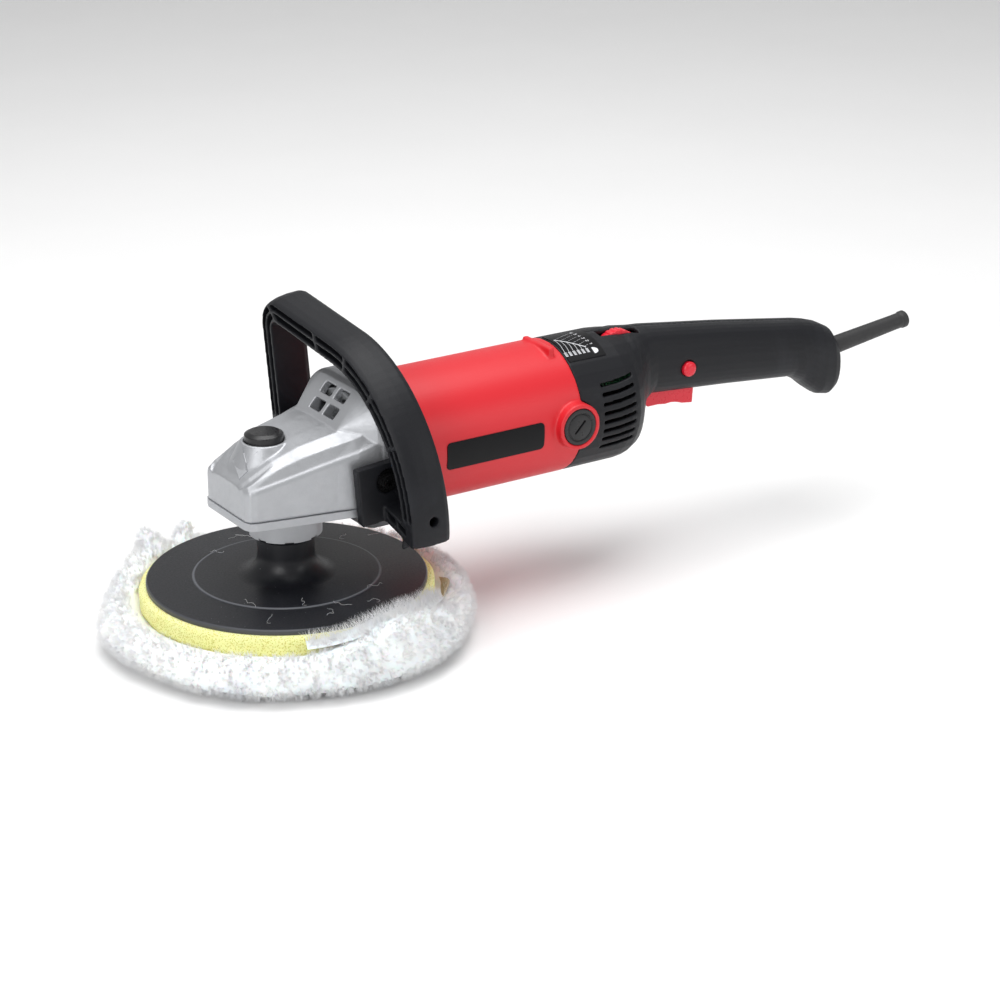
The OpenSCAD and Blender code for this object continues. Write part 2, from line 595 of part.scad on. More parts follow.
// The wire fills the slots and bulges in a crown at each end of the core.
module armature_windings() color("peru") {
    on_motor_axis(core_x) for (i = [0:armature_slots - 1]) rotate([0, 0, i * 360 / armature_slots])
        translate([armature_r - 5, 0, 0]) cylinder(r = 2.8, h = core_len);
    for (x = [core_x - 9, core_x + core_len]) on_motor_axis(x) difference() {
        translate([0, 0, 4.5]) rotate_extrude() translate([armature_r - 9.5, 0])
            intersection() { circle(r = 7.5); square([15, 9], center = true); }
        translate([0, 0, -1]) cylinder(r = shaft_r + 1, h = 12);
    }
}
commutator_bars = 24;
module commutator() color("orange") on_motor_axis(commutator_x) difference() {
    union() {
        cylinder(r = commutator_d / 2, h = commutator_len);
        cylinder(r = commutator_d / 2 + 1.6, h = 2.5);
    }
    translate([0, 0, -1]) cylinder(r = shaft_r, h = commutator_len + 2);
    for (i = [0:commutator_bars - 1]) rotate([0, 0, i * 360 / commutator_bars])
        translate([commutator_d / 2 - 0.8, -0.25, -1]) cube([5, 0.5, commutator_len + 2]);
}

// ---------- motor housing ----------

housing_screw_at = head_r - 13;
rear_hub_r = rear_brg_r + boot_t + 2.6;
spigot_r = housing_r - shell_t - slide;
plate_x = head_end_x + 30;
plate_len = 74;
plate_h = 18.5;
plate_t = 0.5;
plate_corner = 3;

module housing_solid() {
    translate([head_end_x, 0, motor_z]) rounded_square_x(head_r, head_corner, 8);
    on_motor_axis(head_end_x + 8 - eps) cylinder(r1 = head_r, r2 = housing_r, h = 3);
    on_motor_axis(head_end_x) cylinder(r = housing_r, h = housing_len);
    on_motor_axis(head_end_x + 1) cylinder(r = spigot_r, h = housing_len + 3);
    // The raised tab across the top, and the boss round each brush cap.
    translate([housing_end_x - 11, -21, motor_z + housing_r - 8]) cube([4, 32, 9.5]);
    for (side = [-1, 1]) translate([brush_x, 0, motor_z]) to_side(side)
        translate([0, 0, housing_r - 14]) cylinder(r = brush_boss_d / 2, h = 20);
}
module brush_guides() for (side = [-1, 1]) translate([brush_x, 0, motor_z]) to_side(side)
    translate([0, 0, commutator_d / 2 + 3]) cylinder(r = brush_hole_r + 2.4, h = housing_r - commutator_d / 2 - 6);
brush_hole_r = 8.2;
module motor_housing() color("red") difference() {
    union() {
        difference() {
            housing_solid();
            on_motor_axis(head_end_x - 1) cylinder(r = housing_bore_r, h = stator_x - head_end_x + 1);
            on_motor_axis(stator_x - 1) cylinder(r = stator_r + fit, h = stator_len + 1);
            on_motor_axis(stator_x) cylinder(r = stator_r - 3, h = housing_end_x - 2 - stator_x);
        }
        brush_guides();
        on_motor_axis(housing_end_x - 1) cylinder(r = rear_hub_r, h = rear_brg_w + 11.8);
    }
    for (side = [-1, 1]) translate([brush_x, 0, motor_z]) to_side(side) {
        cylinder(r = brush_hole_r, h = 100);
        translate([0, 0, housing_r + 0.5]) cylinder(r = brush_cap_d / 2 + slide, h = 20);
    }
    on_motor_axis(commutator_x - 5) cylinder(r = commutator_d / 2 + 2.6, h = commutator_len + 6);
    on_motor_axis(housing_end_x - 4) cylinder(r = rear_brg_r + boot_t, h = rear_brg_x + rear_brg_w + 1.5 - housing_end_x + 4);
    on_motor_axis(housing_end_x - 4) cylinder(r = shaft_rear_r + 2, h = 60);
    // Air holes through the rear wall, above and below the brushes.
    for (a = [-2:2], up = [0, 180]) on_motor_axis(housing_end_x - 6) rotate([0, 0, up + a * 26])
        translate([(rear_hub_r + spigot_r) / 2, 0, 0]) cylinder(r = (spigot_r - rear_hub_r) / 2 - 5.5, h = 30);
    for (a = [-1, 1], b = [-1, 1]) translate([head_end_x - 1, a * housing_screw_at, motor_z + b * housing_screw_at])
        rotate([0, 90, 0]) {
            cylinder(r = 2.6, h = 40);
            translate([0, 0, 7]) cylinder(r = 4.6, h = 9);
        }
    for (b = [-1, 1]) translate([0, 0, motor_z + b * (stator_r - 5)]) translate([stator_x, 0, 0])
        rotate([0, 90, 0]) cylinder(r = 1.8, h = stator_len + 10);
}
module housing_screws() color("dimgray") for (a = [-1, 1], b = [-1, 1])
    translate([head_end_x + 6, a * housing_screw_at, motor_z + b * housing_screw_at])
        rotate([0, 90, 0]) screw(2, 21, 4.2, 3.4, 1.8);
module stator_core() color("gray") on_motor_axis(stator_x) difference() {
    cylinder(r = stator_r, h = stator_len);
    translate([0, 0, -1]) cylinder(r = armature_r + 0.8, h = stator_len + 2);
    // Windows for the field coils on both sides of the two poles.
    for (a = [0:3]) rotate([0, 0, 45 + a * 90 + (a % 2 == 0 ? -6 : 6)])
        translate([armature_r + 4.5, 0, -1]) cylinder(r = 4.3, h = stator_len + 2);
    for (b = [-1, 1]) translate([b * (stator_r - 5), 0, -1]) cylinder(r = 1.9, h = stator_len + 2);
}
module stator_windings() color("peru") on_motor_axis(stator_x) {
    for (a = [0:3]) rotate([0, 0, 45 + a * 90 + (a % 2 == 0 ? -6 : 6)])
        translate([armature_r + 4.5, 0, 0]) cylinder(r = 3.9, h = stator_len);
    for (z = [-9, stator_len + eps]) translate([0, 0, z]) difference() {
        tube(armature_r + 9, armature_r + 1.2, 9 - eps);
        for (side = [-1, 1]) translate([0, side * (armature_r + 5), 4]) cube([16, 20, 20], center = true);
        for (b = [-1, 1]) translate([b * (stator_r - 5), 0, -6]) cylinder(r = 4.8, h = 20);
    }
}
module stator_screws() color("silver") for (b = [-1, 1])
    translate([stator_x - 0.5, 0, motor_z + b * (stator_r - 5)]) rotate([0, -90, 0])
        screw(1.7, stator_len + 4, 3.6, 2.6, 1.5);

module brush_holders() color("goldenrod") for (side = [-1, 1]) translate([brush_x, 0, motor_z]) to_side(side)
    translate([0, 0, commutator_d / 2 + 3]) difference() {
        cylinder(r = brush_hole_r - fit, h = 17);
        translate([0, 0, 8]) cube([10.4, 6.4, 30], center = true);
    }
brush_l = 12;
module carbon_brushes() color([0.2, 0.2, 0.2]) for (side = [-1, 1]) translate([brush_x, 0, motor_z]) to_side(side)
    difference() {
        translate([-5, -3, 0]) cube([10, 6, commutator_d / 2 + brush_l]);
        rotate([0, 90, 0]) translate([0, 0, -10]) cylinder(r = commutator_d / 2 + running, h = 20);
    }
cap_plug_z = housing_r - 6;
module brush_springs() color("silver") for (side = [-1, 1]) translate([brush_x, 0, motor_z]) to_side(side)
    translate([0, 0, commutator_d / 2 + brush_l + 0.4])
        coil_spring(2.3, 0.35, cap_plug_z - commutator_d / 2 - brush_l - 0.8, 5);
module brush_caps() color([0.08, 0.08, 0.09]) for (side = [-1, 1]) translate([brush_x, 0, motor_z]) to_side(side)
    difference() {
        union() {
            translate([0, 0, cap_plug_z]) cylinder(r = brush_hole_r - fit, h = 10);
            translate([0, 0, housing_r + 0.5]) cylinder(r = brush_cap_d / 2, h = 5.2);
        }
        translate([0, 0, housing_r + 5]) difference() {
            cylinder(r = brush_cap_d / 2 - 2.6, h = 3);
            cylinder(r = brush_cap_d / 2 - 3.6, h = 3);
        }
        rotate([0, 0, -45]) translate([0, 0, housing_r + 5.4]) cube([1.6, 11, 3], center = true);
    }

// Labels stuck on the barrel, on the right and on the left.
module side_plate(side, len, h) intersection() {
    on_motor_axis(plate_x) tube(housing_r + plate_t, housing_r, len);
    translate([plate_x + len / 2, 0, motor_z - 2.5]) to_side(side) linear_extrude(housing_r + 5) {
        square([len, h - 2 * plate_corner], center = true);
        square([len - 2 * plate_corner, h], center = true);
        for (a = [-1, 1], b = [-1, 1])
            translate([a * (len / 2 - plate_corner), b * (h / 2 - plate_corner)]) circle(r = plate_corner);
    }
}
module name_plate() color([0.1, 0.1, 0.1]) side_plate(-1, plate_len, plate_h);
module rating_plate() color("silver") side_plate(1, plate_len - 20, plate_h + 8);

// ---------- switch handle ----------

// Sections of the handle along X: [distance from the housing, top, bottom, half width], heights from the motor axis.
grip_start = 79;
grip_top = 41.4;
function fall(d) = (d - grip_start) * tan(grip_fall);
function taper(d) = (d - grip_start) * 0.05;
grip_half = grip_w / 2;
function grip_section(d, up, down, half) =
    [d, grip_top - fall(d) + up, grip_top - grip_h - fall(d) + taper(d) + down, grip_half + half];
sections = [
    [0.2, housing_r, -housing_r, housing_r],
    [40, housing_r - 0.2, -housing_r + 0.1, housing_r - 0.2],
    [48, housing_r - 0.8, -housing_r + 0.6, housing_r - 2.2],
    [54, housing_r - 1.4, -housing_r + 2.2, housing_r - 6.5],
    [59, housing_r - 2, -housing_r + 5.4, (housing_r + grip_half) / 2],
    [63.5, grip_top + 1.3, -housing_r + 12.5, grip_half + 7.5],
    [67.5, grip_top + 0.9, grip_top - grip_h - 16, grip_half + 3.5],
    [71.5, grip_top + 0.5, grip_top - grip_h - 7.5, grip_half + 1.2],
    grip_section(grip_start, 0, -1, 0),
    grip_section(handle_len - 100, 0.6, 0, -0.5),
    grip_section(handle_len - 42, 0, 0, -1),
    grip_section(handle_len - 32, 0, -4.2, -1.2),
    grip_section(handle_len - 24, -0.5, -10.2, -1.6),
    grip_section(handle_len - 15, -2, -15.6, -2.4),
    grip_section(handle_len - 6, -5.4, -16.6, -3.6),
    grip_section(handle_len - 1.5, -11.5, -12.8, -5.2),
    grip_section(handle_len, -14.5, -9.2, -6.5)
];
section_sides = 32;
// Past the round bell the sections are a little squarer than an ellipse.
function squared(v, d) = sign(v) * pow(abs(v), d < 58 ? 1 : 0.82);
function section_point(s, k, inset) = let (a = 360 * (k + 0.5) / section_sides) [
    housing_end_x + s[0], -(s[3] - inset) * squared(cos(a), s[0]),
    motor_z + (s[1] + s[2]) / 2 + ((s[1] - s[2]) / 2 - inset) * squared(sin(a), s[0])];
module handle_form(inset) {
    n = len(sections);
    shift = inset > 0 ? inset : 0;
    points = [for (i = [0:n - 1], k = [0:section_sides - 1])
        section_point(sections[i], k, inset) - [i == 0 ? shift * 2 : i == n - 1 ? shift : 0, 0, 0]];
    walls = [for (i = [0:n - 2], k = [0:section_sides - 1]) let (l = (k + 1) % section_sides)
        [i * section_sides + k, i * section_sides + l, (i + 1) * section_sides + l, (i + 1) * section_sides + k]];
    front = [for (k = [section_sides - 1:-1:0]) k];
    rear = [for (k = [0:section_sides - 1]) (n - 1) * section_sides + k];
    polyhedron(points, concat([front], walls, [rear]), convexity = 6);
}

// Places in the handle.
trigger_x = housing_end_x + grip_start - 1;
trigger_pivot = [trigger_x + trigger_len - 4.5, motor_z + grip_top - grip_h + 1.5];
lock_on_at = [trigger_x + 26.5, motor_z + 10.5];
dial_at = [housing_end_x + 53.5, motor_z + housing_r - 15.6];
dial_y = -5.5;
relief_at = [handle_end_x - 3, motor_z - 4.7];
handle_screw_places = [
    [housing_end_x + 27, motor_z - 31], [housing_end_x + 30, motor_z + 33],
    [housing_end_x + handle_len * 0.58, motor_z + 16 - fall(handle_len * 0.58)],
    [housing_end_x + handle_len - 17, motor_z - 3 - fall(handle_len - 17)]];
vent_rows = 8;
vent_pitch = 6.1;
vent_h = 2.4;
vent_x = housing_end_x + 17.5;

module on_relief_axis() translate([relief_at[0], 0, relief_at[1]]) rotate([0, 90 - relief_rise, 0]) children();
module side_vents(side) for (i = [0:vent_rows - 1])
    translate([vent_x, side * (housing_r - 20), motor_z - 23.2 + i * vent_pitch]) {
        rotate([0, -2, 0]) translate([0, side < 0 ? -22 : 0, 0]) cube([14, 22, vent_h]);
        translate([14, side < 0 ? -22 : 0, 0.5]) rotate([0, -9, 0]) translate([-0.4, 0, 0]) cube([13.5, 22, vent_h]);
    }
module handle_shell(side) difference() {
    union() {
        difference() {
            handle_form(0);
            handle_form(shell_t);
        }
        for (p = handle_screw_places) intersection() {
            translate([p[0], 0, p[1]]) rotate([90, 0, 0]) cylinder(r = 4.2, h = 2 * housing_r, center = true);
            handle_form(shell_t / 2);
        }
    }
    translate([0, side < 0 ? 0 : -200, 0]) translate([-10, 0, 0]) cube([700, 200, 300]);
    for (p = handle_screw_places) translate([p[0], 0, p[1]]) {
        rotate([90, 0, 0]) cylinder(r = 1.9, h = 22, center = true);
        translate([0, 12, 0]) rotate([-90, 0, 0]) cylinder(r = 3.8, h = 50);
        rotate([90, 0, 0]) translate([0, 0, -13]) cylinder(r = 1.9, h = 10);
    }
    // The openings for the brush boss, the vents, the trigger, the lock-on button, the dial and the strain relief.
    translate([brush_x, side * housing_r, motor_z]) rotate([90, 0, 0])
        cylinder(r = brush_boss_d / 2 + slide, h = 30, center = true);
    side_vents(side);
    translate([trigger_x - 2.5, -trigger_w / 2 - 0.6, motor_z - 40]) cube([trigger_len + 4, trigger_w + 1.2, 40]);
    translate([dial_at[0] - dial_d / 2 - 1, dial_y - dial_w / 2 - 0.5, dial_at[1] - 2]) cube([dial_d + 2, dial_w + 1, 40]);
    on_relief_axis() {
        translate([0, 0, -30]) cylinder(r = relief_root_d / 2 - 1.4, h = 60);
        translate([0, 0, -relief_wall]) cylinder(r = relief_root_d / 2 + fit, h = 60);
    }
    translate([trigger_pivot[0], 0, trigger_pivot[1]]) rotate([90, 0, 0])
        cylinder(r = trigger_pin_r + 0.03, h = trigger_w + 8.2, center = true);
    if (side < 0) translate([lock_on_at[0], 0, lock_on_at[1]]) rotate([90, 0, 0])
        union() {
            cylinder(r = lock_on_d / 2 + 0.15, h = 60);
            translate([0, 0, grip_half - 0.9]) cylinder(r = lock_on_d / 2 + 1.5, h = 20);
        }
}
module handle_shell_right() color([0.13, 0.13, 0.15]) handle_shell(-1);
module handle_shell_left() color([0.13, 0.13, 0.15]) handle_shell(1);
module handle_screws() color("dimgray") for (p = handle_screw_places)
    translate([p[0], 12, p[1]]) rotate([-90, 0, 0]) screw(1.8, 20, 3.5, 2.4, 1.4);

// A printed chart of speeds, stuck on the top of the bell.
module speed_chart() color([0.16, 0.16, 0.2]) intersection() {
    on_motor_axis(housing_end_x + 1.5) tube(housing_r + 0.4, housing_r + 0.02, 29);
    translate([housing_end_x, -housing_r * 0.592, motor_z + 20]) cube([60, housing_r * 0.722, 60]);
}

trigger_w = 14;
// The trigger's side view: a paddle with a hollow for the finger, and a tail that the pin passes through.
module trigger() color("red") translate([0, trigger_w / 2, 0]) rotate([90, 0, 0]) difference() {
    linear_extrude(trigger_w) difference() {
        union() {
            polygon([
                [trigger_x, motor_z - 2], [trigger_x - 1, motor_z - 13], [trigger_x + 1.5, motor_z - 15.6],
                [trigger_x + 10, motor_z - 15.6], [trigger_x + trigger_len - 1, motor_z - 19.6],
                [trigger_x + trigger_len, trigger_pivot[1] - 2], [trigger_pivot[0] + 1, motor_z - 2],
                [trigger_x + 8, motor_z - 1.5]]);
            translate(trigger_pivot) circle(r = 3.8);
        }
        translate([trigger_x + 20, motor_z - 40.8]) circle(r = 24.6);
    }
    translate([trigger_pivot[0], trigger_pivot[1], -1]) cylinder(r = trigger_pin_r + running, h = trigger_w + 2);
}
trigger_pin_r = 1.5;
module trigger_pin() color("silver") translate([trigger_pivot[0], 0, trigger_pivot[1]])
    rotate([90, 0, 0]) cylinder(r = trigger_pin_r, h = trigger_w + 8, center = true);
switch_floor = motor_z + (trigger_len - 4.5) * sin(trigger_swing);
switch_w = 22;
module switch_body() color([0.1, 0.1, 0.11]) difference() {
    translate([trigger_x + 2, -switch_w / 2, switch_floor]) cube([42, switch_w, 22]);
    translate([trigger_x + 10, 0, switch_floor - 1]) cylinder(r = 3.2, h = 5);
}
module trigger_spring() color("silver") translate([trigger_x + 10, 0, motor_z - 1.2])
    coil_spring(2.2, 0.4, switch_floor + 3.2 - motor_z + 1.2, 4);
lock_on_out = grip_half + 2.6;
lock_on_in = switch_w / 2 + lock_on_travel + 0.8;
module lock_on_button() color("red") translate([lock_on_at[0], 0, lock_on_at[1]]) rotate([90, 0, 0]) {
    translate([0, 0, lock_on_in]) cylinder(r = lock_on_d / 2, h = lock_on_out - lock_on_in - 1.7);
    translate([0, 0, lock_on_out - 1.7 - eps]) cylinder(r1 = lock_on_d / 2, r2 = lock_on_d / 2 - 0.9, h = 1);
    translate([0, 0, lock_on_out - 0.7 - 2 * eps]) cylinder(r1 = lock_on_d / 2 - 0.9, r2 = lock_on_d / 2 - 2.6, h = 0.7);
    translate([0, 0, lock_on_in]) cylinder(r = lock_on_d / 2 + 0.7, h = 0.6);
}
module lock_on_spring() color("silver") translate([lock_on_at[0], 0, lock_on_at[1]]) rotate([90, 0, 0])
    translate([0, 0, switch_w / 2 + 0.4]) coil_spring(2.4, 0.3, lock_on_in - switch_w / 2 - 0.8, 2);
dial_axle_r = 2;
dial_grooves = 24;
module speed_dial() color("red") translate([dial_at[0], dial_y, dial_at[1]]) rotate([90, 0, 0]) {
    difference() {
        cylinder(r = dial_d / 2, h = dial_w, center = true);
        for (i = [0:dial_grooves - 1]) rotate([0, 0, i * 360 / dial_grooves])
            translate([dial_d / 2 + 0.4, 0, 0]) cylinder(r = 0.9, h = dial_w + 2, center = true);
    }
    cylinder(r = dial_axle_r, h = dial_w + 16, center = true);
}
module speed_module() color("darkgreen") difference() {
    translate([dial_at[0] - 16, dial_y, 0]) {
        translate([0, -11, dial_at[1] - dial_d / 2 - 5]) cube([26, 28, 3]);
        for (side = [-1, 1]) translate([10, side * (dial_w / 2 + 4) - 3, dial_at[1] - dial_d / 2 - 2.5])
            cube([12, 6, dial_d / 2 + 6]);
    }
    translate([dial_at[0], 0, dial_at[1]]) rotate([90, 0, 0])
        cylinder(r = dial_axle_r + running, h = 60, center = true);
}
module suppression_capacitor() color("steelblue")
    translate([trigger_x + 78, -7, motor_z + 8 - fall(grip_start + 78)]) cube([26, 14, 16]);

// ---------- strain relief and cord clamp ----------

relief_wall = 3;
module strain_relief() color([0.1, 0.1, 0.11]) on_relief_axis() rotate_extrude() polygon([
    [cord_bore_d / 2, -relief_wall - 4], [relief_root_d / 2 - 0.5, -relief_wall - 4],
    [relief_root_d / 2 - 0.5, -relief_wall - 0.2], [relief_root_d / 2 - 1.4 - fit, -relief_wall - 0.2],
    [relief_root_d / 2 - 1.4 - fit, -relief_wall + 0.1], [relief_root_d / 2, -relief_wall + 0.1],
    [relief_root_d / 2, 2], [relief_tip_d / 2 + 0.3, relief_len * 0.55], [relief_tip_d / 2, relief_len - 12],
    [relief_tip_d / 2, relief_len - 5], [relief_tip_d / 2 + 0.6, relief_len - 3.6],
    [relief_tip_d / 2 + 0.6, relief_len - 0.8], [relief_tip_d / 2, relief_len],
    [cord_bore_d / 2, relief_len]]);
module cord_clamp() color([0.2, 0.2, 0.2])
    translate([handle_end_x - 36, -9, motor_z + 6.5 - fall(handle_len - 36)]) difference() {
        cube([8, 18, 5]);
        translate([-1, 9, 7.5]) rotate([0, 90, 0]) cylinder(r = cord_bore_d / 2, h = 20);
    }

// ---------- loop handle ----------

loop_bolt_z = motor_z - 5;
loop_half = loop_w / 2;
loop_x = loop_bolt_x - 5;
lug_y = head_r + fit;
lug_t = 7;
loop_foot = -40;
near_r = loop_half + 6;
// The loop's outline, seen along the motor axis: [y, height above the motor axis], smaller by inset.
// It rounds off slowly on the right and turns a tighter corner on the left.
function arc(cy, cz, r, from, to, steps) = [for (i = [0:steps]) let (a = from + (to - from) * i / steps)
    [cy + r * cos(a), cz + r * sin(a)]];
function loop_edge(inset) = concat(
    [[-loop_half + 4 + inset, loop_foot - 4]],
    arc(8, loop_rise - 106, near_r + 1 - inset, 188, 98, 24),
    arc(loop_half - 23, loop_rise - 23, 23 - inset, 86, 2, 12),
    [[loop_half - inset, loop_foot - 4]]);
// The bar's section: [distance inside the outline, distance behind the front face].
loop_profile = [
    [loop_t, 0], [3.8, 0], [2.2, 3], [0.8, 8], [0, 15], [0, loop_depth - 4], [1.2, loop_depth - 1.2],
    [3.5, loop_depth], [loop_t - 4, loop_depth], [loop_t - 1.4, loop_depth - 1.2], [loop_t, loop_depth - 4.5]];
module loop_bar() {
    edges = [for (q = loop_profile) loop_edge(q[0])];
    m = len(loop_profile);
    n = len(edges[0]);
    points = [for (i = [0:n - 1], j = [0:m - 1]) [loop_x + loop_profile[j][1], edges[j][i][0], motor_z + edges[j][i][1]]];
    walls = [for (i = [0:n - 2], j = [0:m - 1]) let (k = (j + 1) % m)
        [i * m + j, (i + 1) * m + j, (i + 1) * m + k, i * m + k]];
    polyhedron(points, concat([[for (j = [0:m - 1]) j]], walls, [[for (j = [m - 1:-1:0]) (n - 1) * m + j]]), convexity = 6);
}
// A band that follows the outline between two insets, without its feet.
module loop_band(outer, inner) {
    a = loop_edge(outer);
    b = loop_edge(inner);
    n = len(a);
    polygon(concat([for (i = [3:n - 2]) a[i]], [a[n - 2] - [0, 62]], [b[n - 2] - [0, 62]], [for (i = [n - 2:-1:3]) b[i]]));
}
module across_x(x, t) translate([x, 0, motor_z]) rotate([90, 0, 90]) linear_extrude(t) children();
module mirrored(side, points) polygon([for (q = points) [side * q[0], q[1]]]);
module lean() translate([loop_bolt_x, 0, loop_bolt_z]) rotate([0, -loop_lean, 0])
    translate([-loop_bolt_x, 0, -loop_bolt_z]) children();

// Each arm is a lug plate against the head, a web, and a floor that runs down to the leg's foot.
arm_floor = 11;
module loop_arm(side) {
    across_x(loop_x - 16, loop_depth + 12) mirrored(side, [
        [lug_y, loop_foot + 10], [lug_y + lug_t, loop_foot + 9], [lug_y + lug_t, 7], [lug_y, 7]]);
    across_x(loop_x + loop_depth - 12, 9) mirrored(side, [
        [lug_y + 1, loop_foot + 10], [loop_half - 6, loop_foot + 1], [loop_half - 8, 3], [lug_y + 9, 6], [lug_y + 1, 6]]);
    across_x(loop_x + 0.4, loop_depth - 2) mirrored(side, [
        [lug_y + 1, loop_foot + 9.8], [loop_half - 6, loop_foot + 0.6], [loop_half - 7, loop_foot + arm_floor],
        [lug_y + 1, loop_foot + 9.6 + arm_floor]]);
}
// The legs end at a slope that carries on the line of the arms' floors.
module loop_under() polygon([
    [-loop_half - 2, loop_foot - 1], [-loop_half + 6, loop_foot], [-loop_half + 20, loop_foot + 3],
    [loop_half - 20, loop_foot + 3], [loop_half - 6, loop_foot], [loop_half + 2, loop_foot - 1],
    [loop_half + 2, loop_foot - 20], [-loop_half - 2, loop_foot - 20]]);
rib_places = [-72, -44, -16, 14, 45];
module loop_handle() color([0.12, 0.12, 0.14]) difference() {
    lean() difference() {
        union() {
            loop_bar();
            for (side = [-1, 1]) loop_arm(side);
        }
        across_x(loop_x - 30, 100) difference() {
            loop_under();
            square([2 * (loop_half - 18), 200], center = true);
        }
        // Two rows of blind pockets in the front face, with ribs left between them.
        across_x(loop_x - 1, 9) difference() {
            union() {
                loop_band(4.4, 8);
                loop_band(9.8, loop_t - 2.2);
            }
            for (a = rib_places) rotate(90 - a) translate([0, -1.4]) square([200, 2.8]);
        }
        for (side = [-1, 1], i = [0, 1]) across_x(loop_x - 1, 7) mirrored(side, [
            [lug_y + lug_t + 2 + i * 12, loop_foot + 11.6 - i * 2.8], [lug_y + lug_t + 12 + i * 12, loop_foot + 9.2 - i * 2.8],
            [lug_y + lug_t + 12 + i * 12, loop_foot + 14 - i * 2.8], [lug_y + lug_t + 2 + i * 12, loop_foot + 16.4 - i * 2.8]]);
    }
    for (side = [-1, 1]) translate([loop_bolt_x, 0, loop_bolt_z]) to_side(side) {
        cylinder(r = loop_bolt_d / 2 + fit, h = 60);
        translate([0, 0, lug_y + lug_t - 3.5]) cylinder(r = loop_bolt_d + fit, h = 12);
    }
    // A hole near the foot of the right leg stores the hexagon key.
    translate([key_hole_x, -loop_half - 5, motor_z - 23]) rotate([-90, 0, 0]) cylinder(r = key_hole_d / 2, h = 15);
}
key_hole_d = 6.6;
key_hole_x = loop_bolt_x + 11;
module loop_bolts() color("dimgray") for (side = [-1, 1]) translate([loop_bolt_x, 0, loop_bolt_z]) to_side(side)
    translate([0, 0, lug_y + lug_t - 1.5])
        screw(loop_bolt_d / 2, lug_y + lug_t - 1.5 - head_bore_r - 0.8, loop_bolt_d * 0.62, 4.5, loop_bolt_d * 0.3);
module loop_washers() color([0.2, 0.2, 0.2]) for (side = [-1, 1]) translate([loop_bolt_x, 0, loop_bolt_z]) to_side(side)
    translate([0, 0, lug_y + lug_t - 3.5]) tube(loop_bolt_d, loop_bolt_d / 2 + fit, 2);

wool_bonnet();
bonnet_backing();
foam_pad();
backing_pad();
pad_nut();
spindle();
ring_gear();
spindle_bearing_inner();
spindle_bearing_outer();
bearing_retainer();
felt_seal();
spindle_bush();
bearing_flange();
flange_screws();
gear_head();
spindle_lock_button();
spindle_lock_pin();
spindle_lock_spring();
front_bearing_plate();
front_bearing_outer();
front_bearing_inner();
pinion_gear();
armature_shaft();
cooling_fan();
fan_baffle();
armature_core();
armature_windings();
commutator();
rear_bearing_inner();
rear_bearing_outer();
rear_bearing_boot();
motor_housing();
housing_screws();
stator_core();
stator_windings();
stator_screws();
brush_holders();
carbon_brushes();
brush_springs();
brush_caps();
name_plate();
rating_plate();
handle_shell_right();
handle_shell_left();
handle_screws();
speed_chart();
switch_body();
speed_module();
suppression_capacitor();
trigger();
trigger_pin();
trigger_spring();
lock_on_button();
lock_on_spring();
speed_dial();
strain_relief();
cord_clamp();
loop_handle();
loop_bolts();
loop_washers();
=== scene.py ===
import math
import bmesh
import bpy
from mathutils import Matrix, Vector, noise


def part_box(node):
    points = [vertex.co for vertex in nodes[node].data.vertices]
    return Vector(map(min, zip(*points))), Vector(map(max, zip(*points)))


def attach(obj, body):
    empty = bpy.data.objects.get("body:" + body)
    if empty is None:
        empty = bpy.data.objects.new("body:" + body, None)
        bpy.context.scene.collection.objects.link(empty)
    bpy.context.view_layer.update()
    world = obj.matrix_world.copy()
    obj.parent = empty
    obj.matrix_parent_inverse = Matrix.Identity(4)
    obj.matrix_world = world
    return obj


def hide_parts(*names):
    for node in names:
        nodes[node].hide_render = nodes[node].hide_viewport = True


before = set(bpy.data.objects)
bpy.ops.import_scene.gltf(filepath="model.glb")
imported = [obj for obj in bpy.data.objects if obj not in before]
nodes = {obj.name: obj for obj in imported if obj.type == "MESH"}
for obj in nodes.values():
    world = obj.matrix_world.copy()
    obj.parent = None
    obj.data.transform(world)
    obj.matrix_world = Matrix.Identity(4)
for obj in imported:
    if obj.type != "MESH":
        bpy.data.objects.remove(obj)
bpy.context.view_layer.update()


def linked(name, data):
    """A new object in the scene."""
    made = bpy.data.objects.new(name, data)
    bpy.context.scene.collection.objects.link(made)
    return made


def settled(maker):
    """The plain mesh that a maker object's modifiers give. The maker is removed."""
    bpy.context.view_layer.update()
    mesh = bpy.data.meshes.new_from_object(maker.evaluated_get(bpy.context.evaluated_depsgraph_get()))
    bpy.data.objects.remove(maker)
    return mesh


def finished(name, shape, turn_out=True):
    """A mesh from a bmesh, which is freed. Its faces are turned outwards, unless they are left alone."""
    if turn_out:
        bmesh.ops.recalc_face_normals(shape, faces=shape.faces)
    mesh = bpy.data.meshes.new(name)
    shape.to_mesh(mesh)
    shape.free()
    return mesh


def polar(radius, angle, height=0):
    """A point round the spindle's axis, with its angle in radians."""
    return (radius * math.cos(angle), radius * math.sin(angle), height)


def height_at(thing, x, y, otherwise=0.0):
    """How high the top of an object is over a point of the table."""
    hit, spot = thing.ray_cast(Vector((x, y, 0.3)), Vector((0, 0, -1)))[:2]
    return spot.z if hit else otherwise


# ---------------------------------------------------------------------------
# Camera: a short telephoto a little under two metres away, looking down on
# the gear head's right side.
# ---------------------------------------------------------------------------
view_azimuth = math.radians(-32.73)
view_elevation = math.radians(21.44)
view_roll = math.radians(-0.27)
view_distance = 1.806
view_centre = Vector((0.13033, -0.04996, 0.07793))

